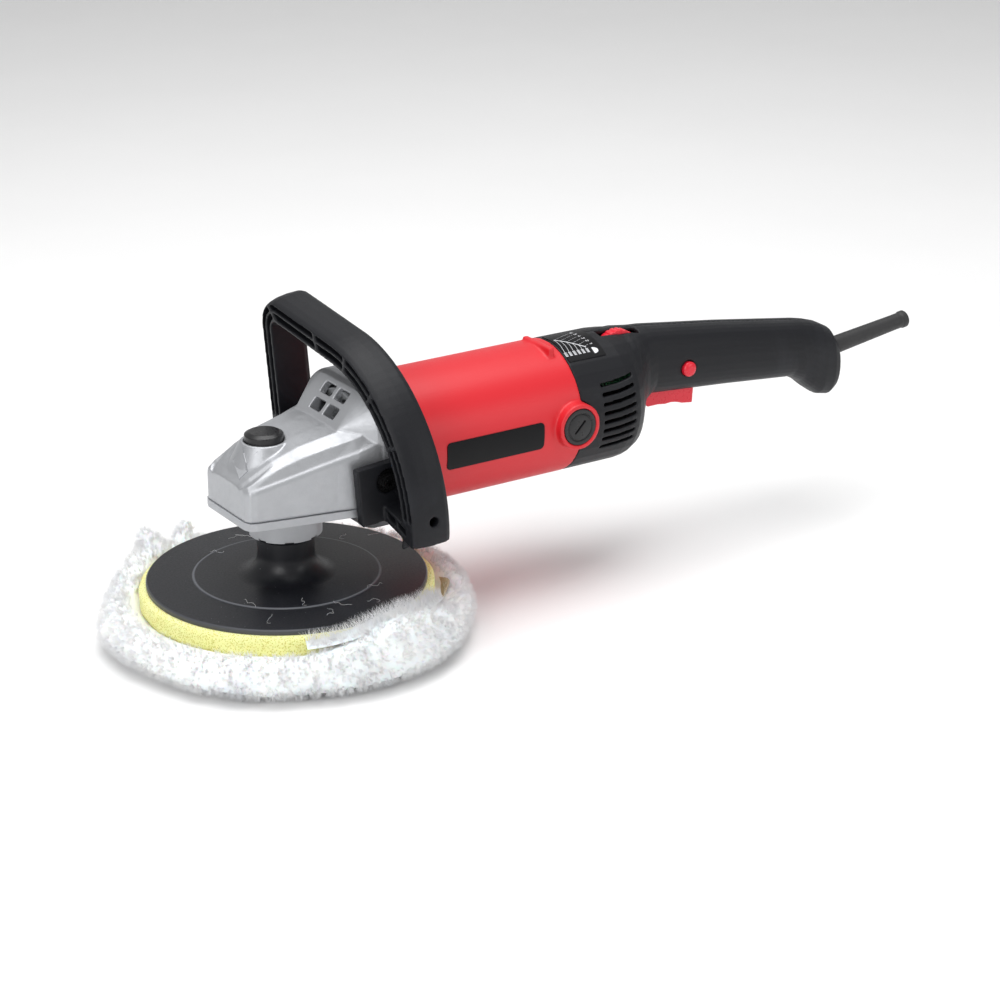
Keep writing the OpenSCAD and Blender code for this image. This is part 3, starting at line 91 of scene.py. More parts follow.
back = Vector((math.sin(view_azimuth) * math.cos(view_elevation),
               -math.cos(view_azimuth) * math.cos(view_elevation),
               math.sin(view_elevation)))
level = Vector((math.cos(view_azimuth), math.sin(view_azimuth), 0))
upward = back.cross(level)
right = level * math.cos(view_roll) + upward * math.sin(view_roll)
upward = upward * math.cos(view_roll) - level * math.sin(view_roll)
camera = linked("camera", bpy.data.cameras.new("camera"))
camera.data.sensor_width = 36
camera.data.lens = 100.8
camera.data.clip_end = 20
camera.matrix_world = Matrix.Translation(view_centre + back * view_distance) @ Matrix(
    (right, upward, back)).transposed().to_4x4()
bpy.context.scene.camera = camera

# ---------------------------------------------------------------------------
# Studio: a white table that curves up behind, a large soft box overhead, one
# in front on the left and a weaker one on the right, in a white room.
# ---------------------------------------------------------------------------


class Value:
    """A socket of a node tree. Arithmetic on it adds Math nodes to the tree."""

    def __init__(self, tree, socket):
        self.tree = tree
        self.socket = socket

    def math(self, operation, *others):
        return self.tree.node("ShaderNodeMath", {"operation": operation}, dict(enumerate((self, *others))))

    def other(self, name):
        """Another output of the same node."""
        return Value(self.tree, self.socket.node.outputs[name])

    def __add__(self, other):
        return self.math("ADD", other)

    __radd__ = __add__

    def __mul__(self, other):
        return self.math("MULTIPLY", other)

    __rmul__ = __mul__

    def __sub__(self, other):
        return self.math("SUBTRACT", other)

    def __rsub__(self, other):
        return (self * -1.0).math("ADD", other)

    def __gt__(self, other):
        return self.math("GREATER_THAN", other)

    def __lt__(self, other):
        return self.math("LESS_THAN", other)


class Nodes:
    """A node tree that is filled by one method."""

    def __init__(self, tree):
        self.tree = tree

    def node(self, kind, settings=None, sockets=None, output=0):
        made = self.tree.nodes.new(kind)
        for name, value in (settings or {}).items():
            if name == "stops":
                ramp = made.color_ramp
                while len(ramp.elements) < len(value):
                    ramp.elements.new(1.0)
                for element, (place, colour) in zip(ramp.elements, value):
                    element.position = place
                    element.color = (*colour, 1.0)
            else:
                setattr(made, name, value)
        for name, value in (sockets or {}).items():
            if isinstance(name, int):
                socket = made.inputs[name]
            else:
                socket = next(s for s in made.inputs if s.enabled and name in (s.name, s.identifier))
            if isinstance(value, Value):
                self.tree.links.new(value.socket, socket)
            elif isinstance(value, tuple) and len(value) == 3 and socket.type == "RGBA":
                socket.default_value = (*value, 1.0)
            else:
                socket.default_value = value
        if isinstance(output, str):
            socket = next(s for s in made.outputs if s.enabled and output in (s.name, s.identifier))
            return Value(self, socket)
        return Value(self, made.outputs[output]) if len(made.outputs) > output else made


class Finish(Nodes):
    """A material with a Principled BSDF. Keywords fill the shader's sockets."""

    def __init__(self, name):
        self.material = bpy.data.materials.new(name)
        self.material.use_nodes = True
        self.material.node_tree.nodes.clear()
        super().__init__(self.material.node_tree)
        self.place = self.node("ShaderNodeTexCoord", output="Object")

    def grain(self, scale, detail=2.0, rough=0.5, stretch=None, warp=0.0):
        place = self.place
        if stretch:
            place = self.node("ShaderNodeMapping", {}, {"Vector": place, "Scale": stretch})
        return self.node("ShaderNodeTexNoise", {}, {
            "Vector": place, "Scale": scale, "Detail": detail, "Roughness": rough, "Distortion": warp})

    def cells(self, scale, feature="F1", output="Distance"):
        return self.node("ShaderNodeTexVoronoi", {"feature": feature}, {
            "Vector": self.place, "Scale": scale}, output)

    def between(self, value, low, high, start=0.0, end=1.0):
        return self.node("ShaderNodeMapRange", {"clamp": True}, {
            "Value": value, "From Min": low, "From Max": high, "To Min": start, "To Max": end})

    def spread(self, noise_value, start, end):
        """A noise, which keeps to the middle of its range, stretched from one value to another."""
        return self.between(noise_value, 0.3, 0.7, start, end)

    def blend(self, mask, first, second):
        return self.node("ShaderNodeMix", {"data_type": "RGBA"}, {
            "Factor": mask, "A_Color": first, "B_Color": second}, "Result_Color")

    def bump(self, height, distance, strength=1.0, over=None):
        sockets = {"Height": height, "Distance": distance, "Strength": strength}
        if over:
            sockets["Normal"] = over
        return self.node("ShaderNodeBump", {}, sockets)

    def shade(self, **sockets):
        names = {key.replace("_", " ").title(): value for key, value in sockets.items()}
        names = {key.replace("Ior", "IOR"): value for key, value in names.items()}
        shader = self.node("ShaderNodeBsdfPrincipled", {}, names)
        self.node("ShaderNodeOutputMaterial", {}, {"Surface": shader})
        return self.material


table_white = Finish("table_white")
table_white.shade(
    base_color=table_white.blend(table_white.grain(6.0), (0.90, 0.90, 0.90), (0.93, 0.93, 0.93)),
    roughness=0.85)
table_mesh = bpy.data.meshes.new("table")
table_half_width = 4.0
curve_start = 2.2
curve_radius = 1.2
sweep = [(-3.0, 0.0), (curve_start, 0.0)]
for step in range(1, 13):
    rise = step * math.pi / 24
    sweep.append((curve_start + curve_radius * math.sin(rise), curve_radius - curve_radius * math.cos(rise)))
sweep.append((3.4, 4.0))
table_mesh.from_pydata(
    [(x, y, z) for y, z in sweep for x in (-table_half_width, table_half_width)], [],
    [(2 * i, 2 * i + 1, 2 * i + 3, 2 * i + 2) for i in range(len(sweep) - 1)])
table_mesh.transform(Matrix.Rotation(view_azimuth, 4, "Z"))
table_mesh.materials.append(table_white.material)
table_mesh.shade_smooth()
table = linked("table", table_mesh)


def soft_box(name, place, aim, size, power):
    light = linked(name, bpy.data.lights.new(name, "AREA"))
    light.data.shape = "RECTANGLE"
    light.data.size, light.data.size_y = size
    light.data.energy = power
    light.location = place
    light.rotation_euler = (Vector(place) - Vector(aim)).to_track_quat("Z", "Y").to_euler()


soft_box("top_box", (0.1, 0.1, 1.7), (0.15, 0, 0.1), (1.8, 1.4), 28)
soft_box("left_box", (-1.5, -0.9, 0.9), (0.1, 0, 0.1), (0.9, 1.1), 13)
soft_box("right_box", (1.0, -1.6, 0.8), (0.2, 0, 0.1), (1.0, 0.9), 5)
room = bpy.data.worlds.new("room")
room.use_nodes = True
room.node_tree.nodes["Background"].inputs["Color"].default_value = (1, 1, 1, 1)
room.node_tree.nodes["Background"].inputs["Strength"].default_value = 0.42
bpy.context.scene.world = room
bpy.context.scene.view_settings.view_transform = "Standard"

# ---------------------------------------------------------------------------
# Gear head: one aluminium die casting, shot-blasted and sprayed silver. Its
# edges are drafted and rounded, as the die leaves them.
# ---------------------------------------------------------------------------


def piece(name, mesh, body, material, smooth=True):
    """A new piece of the object, already in place, that rides on a body."""
    made = linked(name, mesh)
    mesh.materials.clear()
    mesh.materials.append(material)
    if smooth:
        mesh.shade_smooth()
    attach(made, body)
    return made


def paint(material, *names):
    """Gives CAD nodes a better material."""
    for name in names:
        mesh = nodes[name].data
        mesh.materials.clear()
        mesh.materials.append(material)


def welded(node):
    """A CAD node's loose triangles, joined along their edges."""
    shape = bmesh.new()
    shape.from_mesh(nodes[node].data)
    bmesh.ops.remove_doubles(shape, verts=shape.verts, dist=1e-6)
    return shape


def moulded(node, body, material, grain, passes, name, share=0.4):
    """A casting or moulding made from its CAD node, with its sharp edges rounded off."""
    rough = linked(node + "_rough", finished(node, welded(node), turn_out=False))
    remesh = rough.modifiers.new("remesh", "REMESH")
    remesh.mode = "VOXEL"
    remesh.voxel_size = grain
    smooth = rough.modifiers.new("smooth", "SMOOTH")
    smooth.factor = 0.5
    smooth.iterations = passes
    fewer = rough.modifiers.new("fewer", "DECIMATE")
    fewer.ratio = share
    made = piece(name, settled(rough), body, material)
    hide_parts(node)
    return made


def edged(node, body, material, width, name):
    """A crisp small moulding made from its CAD node, with a narrow radius along its sharp edges."""
    shape = welded(node)
    bmesh.ops.dissolve_limit(shape, angle_limit=0.01, verts=shape.verts, edges=shape.edges)
    sharp = [e for e in shape.edges if e.is_manifold and e.calc_face_angle() > 0.6]
    bmesh.ops.bevel(
        shape, geom=sharp, offset=width, segments=2, profile=0.5, affect="EDGES", clamp_overlap=True)
    bmesh.ops.triangulate(shape, faces=shape.faces)
    mesh = finished(node, shape, turn_out=False)
    made = piece(name, mesh, body, material)
    mesh.set_sharp_from_angle(angle=math.radians(38))
    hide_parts(node)


silver = Finish("silver_paint")
silver_peel = silver.grain(900, 3)
silver.shade(
    base_color=silver.blend(silver.grain(60, 4), (0.42, 0.43, 0.45), (0.50, 0.51, 0.53)),
    metallic=0.75,
    roughness=silver.spread(silver.grain(300, 3), 0.42, 0.52),
    normal=silver.bump(silver_peel, 0.00016, 0.5))
head_casting = moulded("gear_head", "machine", silver.material, 0.0006, 6, "gear_head_casting")
paint(silver.material, "bearing_flange")

# The raised mark on the head's sloping front shows which way the lock is
# pressed: a plain bent arrow, cast with the head.
mark_path = [
    (-0.0375, -0.012), (-0.0335, 0.004), (-0.0290, -0.0015), (-0.0300, -0.0045),
    (-0.0230, -0.0075), (-0.0240, -0.0120), (-0.0310, -0.0090), (-0.0320, -0.0125)]
mark_height = 0.0011
mark_sunk = 0.0005
mark_shape = bmesh.new()
mark_face = mark_shape.faces.new([mark_shape.verts.new((x, y, 0)) for x, y in mark_path])
mark_top = bmesh.ops.extrude_face_region(mark_shape, geom=[mark_face])
mark_lifted = [v for v in mark_top["geom"] if isinstance(v, bmesh.types.BMVert)]
bmesh.ops.translate(mark_shape, verts=mark_lifted, vec=(0, 0, mark_height))
bpy.context.view_layer.update()
for v in mark_shape.verts:
    v.co.z = height_at(head_casting, v.co.x, v.co.y) + v.co.z - mark_sunk
mark_mesh = finished("lock_mark", mark_shape)
piece("lock_mark", mark_mesh, "machine", silver.material, smooth=False)

# ---------------------------------------------------------------------------
# Spindle lock button: a smooth black cap over a sprung steel pin.
# ---------------------------------------------------------------------------
gloss_black = Finish("gloss_black")
gloss_black.shade(
    base_color=gloss_black.blend(gloss_black.grain(120, 3), (0.010, 0.010, 0.011), (0.020, 0.020, 0.021)),
    roughness=gloss_black.spread(gloss_black.grain(400, 3), 0.26, 0.36),
    normal=gloss_black.bump(gloss_black.grain(1500, 2), 0.00005, 0.3),
    specular_ior_level=0.4)
moulded("spindle_lock_button", "spindle_lock", gloss_black.material, 0.0003, 12, "spindle_lock_cap")

# ---------------------------------------------------------------------------
# Steel parts: turned, ground and lightly oiled, with fine marks round them.
# ---------------------------------------------------------------------------
steel = Finish("turned_steel")
steel.shade(
    base_color=steel.blend(steel.grain(200, 4), (0.50, 0.50, 0.51), (0.62, 0.62, 0.63)),
    metallic=1.0,
    roughness=steel.spread(steel.grain(500, 4), 0.22, 0.38),
    normal=steel.bump(steel.grain(2500, 2), 0.00003, 0.3))
paint(steel.material, "spindle", "spindle_bearing_inner", "spindle_bearing_outer", "bearing_retainer",
      "pad_nut", "front_bearing_outer", "front_bearing_inner", "rear_bearing_inner", "rear_bearing_outer",
      "armature_shaft", "spindle_lock_pin", "spindle_lock_spring", "trigger_pin", "trigger_spring",
      "lock_on_spring", "brush_springs", "flange_screws", "housing_screws", "stator_screws")
oiled_steel = Finish("hardened_steel")
oiled_steel.shade(
    base_color=oiled_steel.blend(oiled_steel.grain(150, 4), (0.14, 0.13, 0.12), (0.26, 0.25, 0.24)),
    metallic=1.0,
    roughness=oiled_steel.spread(oiled_steel.grain(400, 3), 0.18, 0.42),
    coat_weight=0.3)
paint(oiled_steel.material, "ring_gear", "pinion_gear")

# ---------------------------------------------------------------------------
# Loop handle: a deep bar of black glass-filled nylon. Its outside has a fine
# spark-eroded texture, and its front is cored out in two rows of pockets.
# ---------------------------------------------------------------------------
textured_black = Finish("textured_black")
spark = textured_black.grain(1400, 2, 0.6)
scuffs = textured_black.between(textured_black.grain(9, 5, 0.7, warp=1.5), 0.52, 0.72)
textured_black.shade(
    base_color=textured_black.blend(scuffs, (0.0085, 0.0090, 0.0115), (0.015, 0.016, 0.020)),
    roughness=textured_black.spread(spark, 0.40, 0.52),
    normal=textured_black.bump(spark, 0.00018, 0.55),
    specular_ior_level=0.26)
moulded("loop_handle", "machine", textured_black.material, 0.00065, 5, "loop_handle_moulding")

black_oxide = Finish("black_oxide")
black_oxide.shade(
    base_color=black_oxide.blend(black_oxide.grain(300, 3), (0.012, 0.012, 0.013), (0.035, 0.035, 0.036)),
    metallic=0.8,
    roughness=black_oxide.spread(black_oxide.grain(700, 3), 0.24, 0.40),
    normal=black_oxide.bump(black_oxide.grain(1800, 2), 0.00005, 0.3))
paint(black_oxide.material, "loop_bolts", "loop_washers", "handle_screws")

# ---------------------------------------------------------------------------
# Motor housing: a thick barrel of red nylon with a fine satin surface. It
# carries the motor, and a raised ring round each brush cap.
# ---------------------------------------------------------------------------
red_nylon = Finish("red_nylon")
satin = red_nylon.grain(1100, 2, 0.55)
flow = red_nylon.grain(14, 3, stretch=(0.3, 1.0, 1.0))
red_nylon.shade(
    base_color=red_nylon.blend(flow, (0.60, 0.010, 0.018), (0.69, 0.015, 0.025)),
    roughness=red_nylon.spread(satin, 0.36, 0.46),
    normal=red_nylon.bump(satin, 0.0001, 0.4))
moulded("motor_housing", "machine", red_nylon.material, 0.0008, 4, "motor_housing_moulding", 0.35)

# ---------------------------------------------------------------------------
# Brush caps: black screwed plugs with a slot for a coin or a screwdriver.
# ---------------------------------------------------------------------------
edged("brush_caps", "machine", gloss_black.material, 0.0004, "brush_cap_plugs")

# ---------------------------------------------------------------------------
# Plates: a plain black printed film on the right of the barrel and a plain
# silver one on the left. Both are blank.
# ---------------------------------------------------------------------------
black_film = Finish("black_film")
black_film.shade(
    base_color=black_film.blend(black_film.grain(40, 3), (0.004, 0.004, 0.005), (0.008, 0.008, 0.009)),
    roughness=black_film.spread(black_film.grain(90, 3), 0.28, 0.36),
    normal=black_film.bump(black_film.grain(700, 2), 0.00004, 0.25),
    specular_ior_level=0.15)
paint(black_film.material, "name_plate")
silver_film = Finish("silver_film")
silver_film.shade(
    base_color=silver_film.blend(
        silver_film.grain(400, 2, stretch=(0.05, 1, 1)), (0.42, 0.42, 0.43), (0.55, 0.55, 0.56)),
    metallic=0.7,
    roughness=silver_film.spread(silver_film.grain(600, 2, stretch=(0.05, 1, 1)), 0.28, 0.44))
paint(silver_film.material, "rating_plate")

# ---------------------------------------------------------------------------
# Switch handle: two black shells that meet along the top and the bottom, with
# the same fine texture as the loop. Chevron slots let the cooling air in.
# ---------------------------------------------------------------------------
moulded("handle_shell_right", "machine", textured_black.material, 0.00065, 4, "switch_handle_right")
moulded("handle_shell_left", "machine", textured_black.material, 0.00065, 4, "switch_handle_left")

# ---------------------------------------------------------------------------
# Trigger, lock-on button and speed dial: bright red glossy mouldings.
# ---------------------------------------------------------------------------
red_gloss = Finish("red_gloss")
red_gloss.shade(
    base_color=red_gloss.blend(red_gloss.grain(60, 3), (0.68, 0.012, 0.030), (0.76, 0.018, 0.038)),
    roughness=red_gloss.spread(red_gloss.grain(300, 3), 0.24, 0.34),
    normal=red_gloss.bump(red_gloss.grain(1200, 2), 0.00004, 0.25))
moulded("trigger", "trigger", red_gloss.material, 0.0004, 10, "trigger_paddle")
moulded("lock_on_button", "lock_on_button", red_gloss.material, 0.00022, 5, "lock_on_cap")
edged("speed_dial", "speed_dial", red_gloss.material, 0.0003, "speed_dial_wheel")

# ---------------------------------------------------------------------------
# Strain relief: a tapered sleeve of black rubber, with an open flared end.
# ---------------------------------------------------------------------------
rubber = Finish("black_rubber")
rubber.shade(
    base_color=rubber.blend(rubber.grain(50, 4), (0.016, 0.016, 0.017), (0.030, 0.030, 0.031)),
    roughness=rubber.spread(rubber.grain(500, 3), 0.48, 0.62),
    normal=rubber.bump(rubber.grain(900, 3), 0.0001, 0.4))
paint(rubber.material, "strain_relief", "rear_bearing_boot")

# ---------------------------------------------------------------------------
# Motor: stacked steel laminations, enamelled copper wire, a copper
# commutator, and two sprung carbon brushes in brass boxes.
# ---------------------------------------------------------------------------
laminations = Finish("laminations")
sheets = laminations.node("ShaderNodeTexWave", {"bands_direction": "X", "wave_profile": "SAW"}, {
    "Vector": laminations.place, "Scale": 320.0, "Distortion": 0.0})
laminations.shade(
    base_color=laminations.blend(sheets, (0.20, 0.21, 0.22), (0.42, 0.43, 0.44)),
    metallic=1.0,
    roughness=laminations.spread(laminations.grain(300, 3), 0.35, 0.5),
    normal=laminations.bump(sheets, 0.0001, 0.4))
paint(laminations.material, "armature_core", "stator_core")
copper = Finish("enamelled_copper")
strands = copper.node("ShaderNodeTexWave", {"bands_direction": "DIAGONAL", "wave_profile": "SIN"}, {
    "Vector": copper.place, "Scale": 260.0, "Distortion": 2.0, "Detail Scale": 2.0})
copper.shade(
    base_color=copper.blend(strands, (0.22, 0.07, 0.03), (0.52, 0.20, 0.09)),
    metallic=0.9,
    roughness=copper.between(strands, 0.0, 1.0, 0.42, 0.25),
    normal=copper.bump(strands, 0.0003, 0.6))
paint(copper.material, "armature_windings", "stator_windings", "commutator")
brass = Finish("drawn_brass")
brass.shade(
    base_color=brass.blend(brass.grain(150, 3), (0.52, 0.36, 0.14), (0.66, 0.48, 0.20)),
    metallic=1.0,
    roughness=brass.spread(brass.grain(400, 3), 0.25, 0.4))
paint(brass.material, "brush_holders", "spindle_bush")
cast = Finish("bare_casting")
cast.shade(
    base_color=cast.blend(cast.grain(90, 4), (0.48, 0.49, 0.50), (0.58, 0.59, 0.60)),
    metallic=0.9,
    roughness=cast.spread(cast.grain(400, 3), 0.42, 0.55),
    normal=cast.bump(cast.grain(1100, 3), 0.00015, 0.5))
paint(cast.material, "front_bearing_plate")
carbon = Finish("pressed_carbon")
carbon.shade(
    base_color=carbon.blend(carbon.grain(900, 3), (0.02, 0.02, 0.02), (0.06, 0.06, 0.06)),
    metallic=0.3,
    roughness=carbon.spread(carbon.grain(600, 3), 0.5, 0.7))
paint(carbon.material, "carbon_brushes")
felt = Finish("pressed_felt")
felt.shade(
    base_color=felt.blend(felt.grain(700, 4, warp=2.0), (0.42, 0.36, 0.27), (0.62, 0.56, 0.45)),
    roughness=0.95,
    normal=felt.bump(felt.grain(900, 4, warp=2.0), 0.0004, 0.8))
paint(felt.material, "felt_seal")

# ---------------------------------------------------------------------------
# Inner parts of plain black nylon, the control board and the suppressor.
# ---------------------------------------------------------------------------
plain_black = Finish("plain_black")
plain_black.shade(
    base_color=plain_black.blend(plain_black.grain(80, 3), (0.014, 0.014, 0.015), (0.026, 0.026, 0.027)),
    roughness=plain_black.spread(plain_black.grain(500, 3), 0.38, 0.5),
    normal=plain_black.bump(plain_black.grain(1000, 2), 0.00008, 0.4))
paint(plain_black.material, "cooling_fan", "fan_baffle", "switch_body", "cord_clamp")
board = Finish("control_board")
traces = board.cells(220, "DISTANCE_TO_EDGE")
board.shade(
    base_color=board.blend(board.between(traces, 0.02, 0.06), (0.10, 0.34, 0.16), (0.02, 0.12, 0.05)),
    roughness=board.between(traces, 0.0, 0.1, 0.25, 0.4))
paint(board.material, "speed_module")
suppressor = Finish("suppressor_case")
suppressor.shade(
    base_color=suppressor.blend(suppressor.grain(70, 3), (0.06, 0.14, 0.32), (0.09, 0.19, 0.40)),
    roughness=suppressor.spread(suppressor.grain(300, 3), 0.3, 0.42))
paint(suppressor.material, "suppression_capacitor")

# ---------------------------------------------------------------------------
# Backing pad: a black polyurethane disc, dished a little, with a moulded ring
# two thirds of the way out and a hub that flares into it. Dust settles on it.
# ---------------------------------------------------------------------------
pad_black = Finish("pad_black")
pad_grain = pad_black.grain(800, 3)
dust = pad_black.cells(160) < 0.035
film = pad_black.between(pad_black.grain(18, 5, 0.65, warp=1.0), 0.50, 0.75)
flat = pad_black.node(
    "ShaderNodeVectorMath", {"operation": "MULTIPLY"}, {0: pad_black.place, 1: (1.0, 1.0, 0.0)})
reach = pad_black.node("ShaderNodeVectorMath", {"operation": "LENGTH"}, {0: flat}, "Value")
# Painted highlight: a thin light line on the moulded ring at 60 mm, and a fainter one round the rim, standing
# in for light caught by these edges.
painted_ring_highlight = pad_black.between(reach, 0.0586, 0.0594) * pad_black.between(reach, 0.0600, 0.0608, 1.0, 0.0)
painted_rim_highlight = pad_black.between(reach, 0.0888, 0.0894)
pad_base = pad_black.blend(film, (0.0075, 0.0080, 0.0110), (0.014, 0.0150, 0.019))
pad_painted_highlights = pad_black.blend(painted_ring_highlight.math("MAXIMUM", painted_rim_highlight * 0.5), pad_base, (0.11, 0.115, 0.13))
pad_black.shade(
    base_color=pad_black.blend(dust, pad_painted_highlights, (0.30, 0.31, 0.33)),
    roughness=pad_black.spread(pad_grain, 0.32, 0.44),
    normal=pad_black.bump(pad_grain, 0.0001, 0.35),
    specular_ior_level=0.4)
paint(pad_black.material, "backing_pad")

# ---------------------------------------------------------------------------
# Foam pad: an open-celled yellow polyurethane disc, cut a little unevenly
# round its edge.
# ---------------------------------------------------------------------------
foam_low, foam_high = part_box("foam_pad")
foam_radius = foam_high.x
foam_base, foam_top = foam_low.z, foam_high.z
foam_rings = [(0.0, 0.0), (0.80, 0.0), (0.97, 0.0), (1.0, 0.10), (1.004, 0.30), (1.002, 0.6),
              (1.0, 0.88), (0.975, 1.0), (0.80, 1.0), (0.0, 1.0)]
foam_steps = 180
foam_unevenness = 0.0012
foam_shape = bmesh.new()
foam_loops = []
for share, rise in foam_rings:
    ring = []
    for i in range(foam_steps if share else 1):
        a = 2 * math.pi * i / foam_steps
        wave = foam_unevenness * noise.noise(Vector(polar(4, a, rise * 3))) if share > 0.9 else 0
        r = foam_radius * share * 0.995 + wave
        ring.append(foam_shape.verts.new(polar(r, a, foam_base + (foam_top - foam_base) * rise)))
    foam_loops.append(ring)
for lower, upper in zip(foam_loops, foam_loops[1:]):
    for i in range(foam_steps):
        j = (i + 1) % foam_steps
        if len(lower) == 1:
            foam_shape.faces.new((lower[0], upper[j], upper[i]))
        elif len(upper) == 1:
            foam_shape.faces.new((lower[i], lower[j], upper[0]))
        else:
            foam_shape.faces.new((lower[i], lower[j], upper[j], upper[i]))
foam_mesh = finished("foam_disc", foam_shape)
yellow_foam = Finish("yellow_foam")
pores = yellow_foam.cells(900)
holes = yellow_foam.between(pores, 0.15, 0.5)
tint = yellow_foam.blend(yellow_foam.grain(35, 4), (0.88, 0.82, 0.30), (0.93, 0.90, 0.48))
yellow_foam.shade(
    base_color=yellow_foam.blend(holes, (0.60, 0.52, 0.10), tint),
    roughness=0.9,
    subsurface_weight=0.2,
    normal=yellow_foam.bump(holes, 0.0004, 0.5))
foam_disc = piece("foam_disc", foam_mesh, "spindle", yellow_foam.material)
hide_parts("foam_pad")

# ---------------------------------------------------------------------------
# Wool bonnet: a thick white fleece, knitted on its cloth back. It is pressed
# out past the foam in soft lumps, and its pile lies in short locks.
# ---------------------------------------------------------------------------
fleece_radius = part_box("wool_bonnet")[1].x
cloth_low, cloth_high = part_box("bonnet_backing")
pocket_radius = cloth_high.x + 0.0004
pocket_floor = cloth_low.z
cloth_edge = cloth_high.z - 0.0045
# Degrees round the pad: where the fleece stands highest at the back, where it
# climbs over the disc, and where it parts from the foam and shows the cloth.
fold_at, climb_at, part_at = 124, -76, -28


def around(angle, centre, width):
    """1 at one angle round the pad, falling smoothly to 0 away from it, in degrees."""
    gap = (angle - centre + 180) % 360 - 180
    return math.exp(-(gap / width) ** 2)


def fleece_section(angle):
    """The fleece's outline in a cut through its axis, as (radius, height), from its face to its pocket."""
    a = math.radians(angle)
    lump = noise.noise(Vector(polar(3.1, a, 0.7)))
    ripple = noise.noise(Vector(polar(9, a, 5.2)))
    rim = fleece_radius - 0.0015 + 0.0035 * lump + 0.002 * ripple
    crest = (0.0275 + 0.0015 * lump + 0.0095 * around(angle, fold_at, 20) + 0.0105 * around(angle, climb_at, 23)
             + 0.002 * around(angle, 60, 30) + 0.004 * around(angle, 8, 22) - 0.002 * around(angle, -30, 9))
    lip = 0.0045 * around(angle, climb_at, 21)
    part = 0.006 * around(angle, part_at, 8)
    touch = foam_radius + 0.0010 + part
    under = 0.0026
    floor = pocket_floor - 0.0002
    return [(0, under), (0.05, under), (0.09, under), (0.108, 0.0032), (rim - 0.006, 0.0065),
            (rim - 0.001, 0.0115), (rim, 0.0165), (rim - 0.002, 0.0215), (rim - 0.007, 0.5 * (crest + 0.0235)),
            (0.111 + part * 0.5, crest), (0.106 + part * 0.6 - lip * 0.6, crest + 0.4 * lip),
            (touch + 0.003 - 1.1 * lip, crest - 0.001 + 0.4 * lip), (touch - 0.8 * lip, crest - 0.0035),
            (touch, cloth_edge + 0.0010), (pocket_radius, cloth_edge), (pocket_radius, pocket_floor + 0.0006),
            (0.06, floor), (0, floor)]


def turned(name, section, steps=240):
    """A closed mesh round Z, whose outline is a function of the angle and starts and ends on the axis."""
    shape = bmesh.new()
    outlines = [section(360 * i / steps) for i in range(steps)]
    ends = [shape.verts.new((0, 0, outlines[0][k][1])) for k in (0, -1)]
    columns = []
    for i, outline in enumerate(outlines):
        a = 2 * math.pi * i / steps
        columns.append([shape.verts.new(polar(r, a, z)) for r, z in outline[1:-1]])
    for i, column in enumerate(columns):
        after = columns[(i + 1) % steps]
        shape.faces.new((ends[0], after[0], column[0]))
        shape.faces.new((ends[1], column[-1], after[-1]))
        for k in range(len(column) - 1):
            shape.faces.new((column[k], after[k], after[k + 1], column[k + 1]))
    return finished(name, shape)


fleece_core = linked("fleece_core", turned("fleece_core", fleece_section))
# Two long locks stand up at the back, where the fleece is folded.
locks = bmesh.new()
locks.from_mesh(fleece_core.data)
for angle, radius, foot, top, thick, lean in (
        (113, 0.114, 0.026, 0.0405, 0.0078, 3), (101.5, 0.1135, 0.022, 0.0395, 0.0052, -5)):
    for k in range(9):
        share = k / 8
        a = math.radians(angle + lean * share * share)
        swell = thick * (0.80 + 0.28 * math.sin(math.pi * min(1, share * 1.25) ** 1.4))
        bmesh.ops.create_icosphere(
            locks, subdivisions=2, radius=swell,
            matrix=Matrix.Translation(polar(radius, a, foot + (top - foot) * share)))
locks.to_mesh(fleece_core.data)
locks.free()
fleece_remesh = fleece_core.modifiers.new("remesh", "REMESH")
fleece_remesh.mode = "VOXEL"
fleece_remesh.voxel_size = 0.004
fleece_rough = settled(fleece_core)


def in_pocket(p):
    """Whether a point of the fleece faces the foam and its cloth."""
    wall = pocket_radius if p.z < cloth_edge + 0.001 else foam_radius
    return p.z > pocket_floor - 0.0015 and math.hypot(p.x, p.y) < wall + 0.0012


# The fleece is blown up a little like a cushion. The pocket and the face that
# rests on the work are held.
fleece_start = [v.co.copy() for v in fleece_rough.vertices]
cloth_frames = 20
pillow = linked("pillow", fleece_rough)
held = pillow.vertex_groups.new(name="held")
held.add([v.index for v in fleece_rough.vertices
          if in_pocket(v.co) or v.co.z < 0.0045 or math.hypot(v.co.x, v.co.y) < 0.101], 1.0, "REPLACE")
cloth = pillow.modifiers.new("cloth", "CLOTH")
cloth.settings.vertex_group_mass = "held"
cloth.settings.quality = 5
cloth.settings.mass = 0.3
cloth.settings.tension_stiffness = 12
cloth.settings.compression_stiffness = 12
cloth.settings.shear_stiffness = 5
cloth.settings.bending_stiffness = 0.6
cloth.settings.use_pressure = True
cloth.settings.uniform_pressure_force = 4
cloth.settings.effector_weights.gravity = 0
cloth.point_cache.frame_start = 1
cloth.point_cache.frame_end = cloth_frames
for frame_number in range(1, cloth_frames + 1):
    bpy.context.scene.frame_set(frame_number)
fleece_rough = settled(pillow)
bpy.context.scene.frame_set(1)
fleece_cap = 0.004
for v, start in zip(fleece_rough.vertices, fleece_start):
    move = v.co - start
    if move.length > fleece_cap:
        v.co = start + move.normalized() * fleece_cap
    # Lumps a few centimetres across, and smaller ones on them.
    if not in_pocket(start) and start.z > 0.004:
        out = Vector((v.co.x, v.co.y, 0)).normalized()
        size = min(1.0, max(0.0, (math.hypot(v.co.x, v.co.y) - 0.098) / 0.010))
        v.co += (out * 0.8 + Vector((0, 0, 0.6))) * size * (
            0.0024 * noise.noise(v.co * 40) + 0.0007 * noise.noise(v.co * 110 + Vector((3, 1, 2))))
fleece_block = linked("fleece_block", fleece_rough)
fleece_finer = fleece_block.modifiers.new("finer", "SUBSURF")
fleece_finer.levels = fleece_finer.render_levels = 1
fleece_mesh = settled(fleece_block)
pile_mark = fleece_mesh.attributes.new("pile", "BOOLEAN", "POINT")
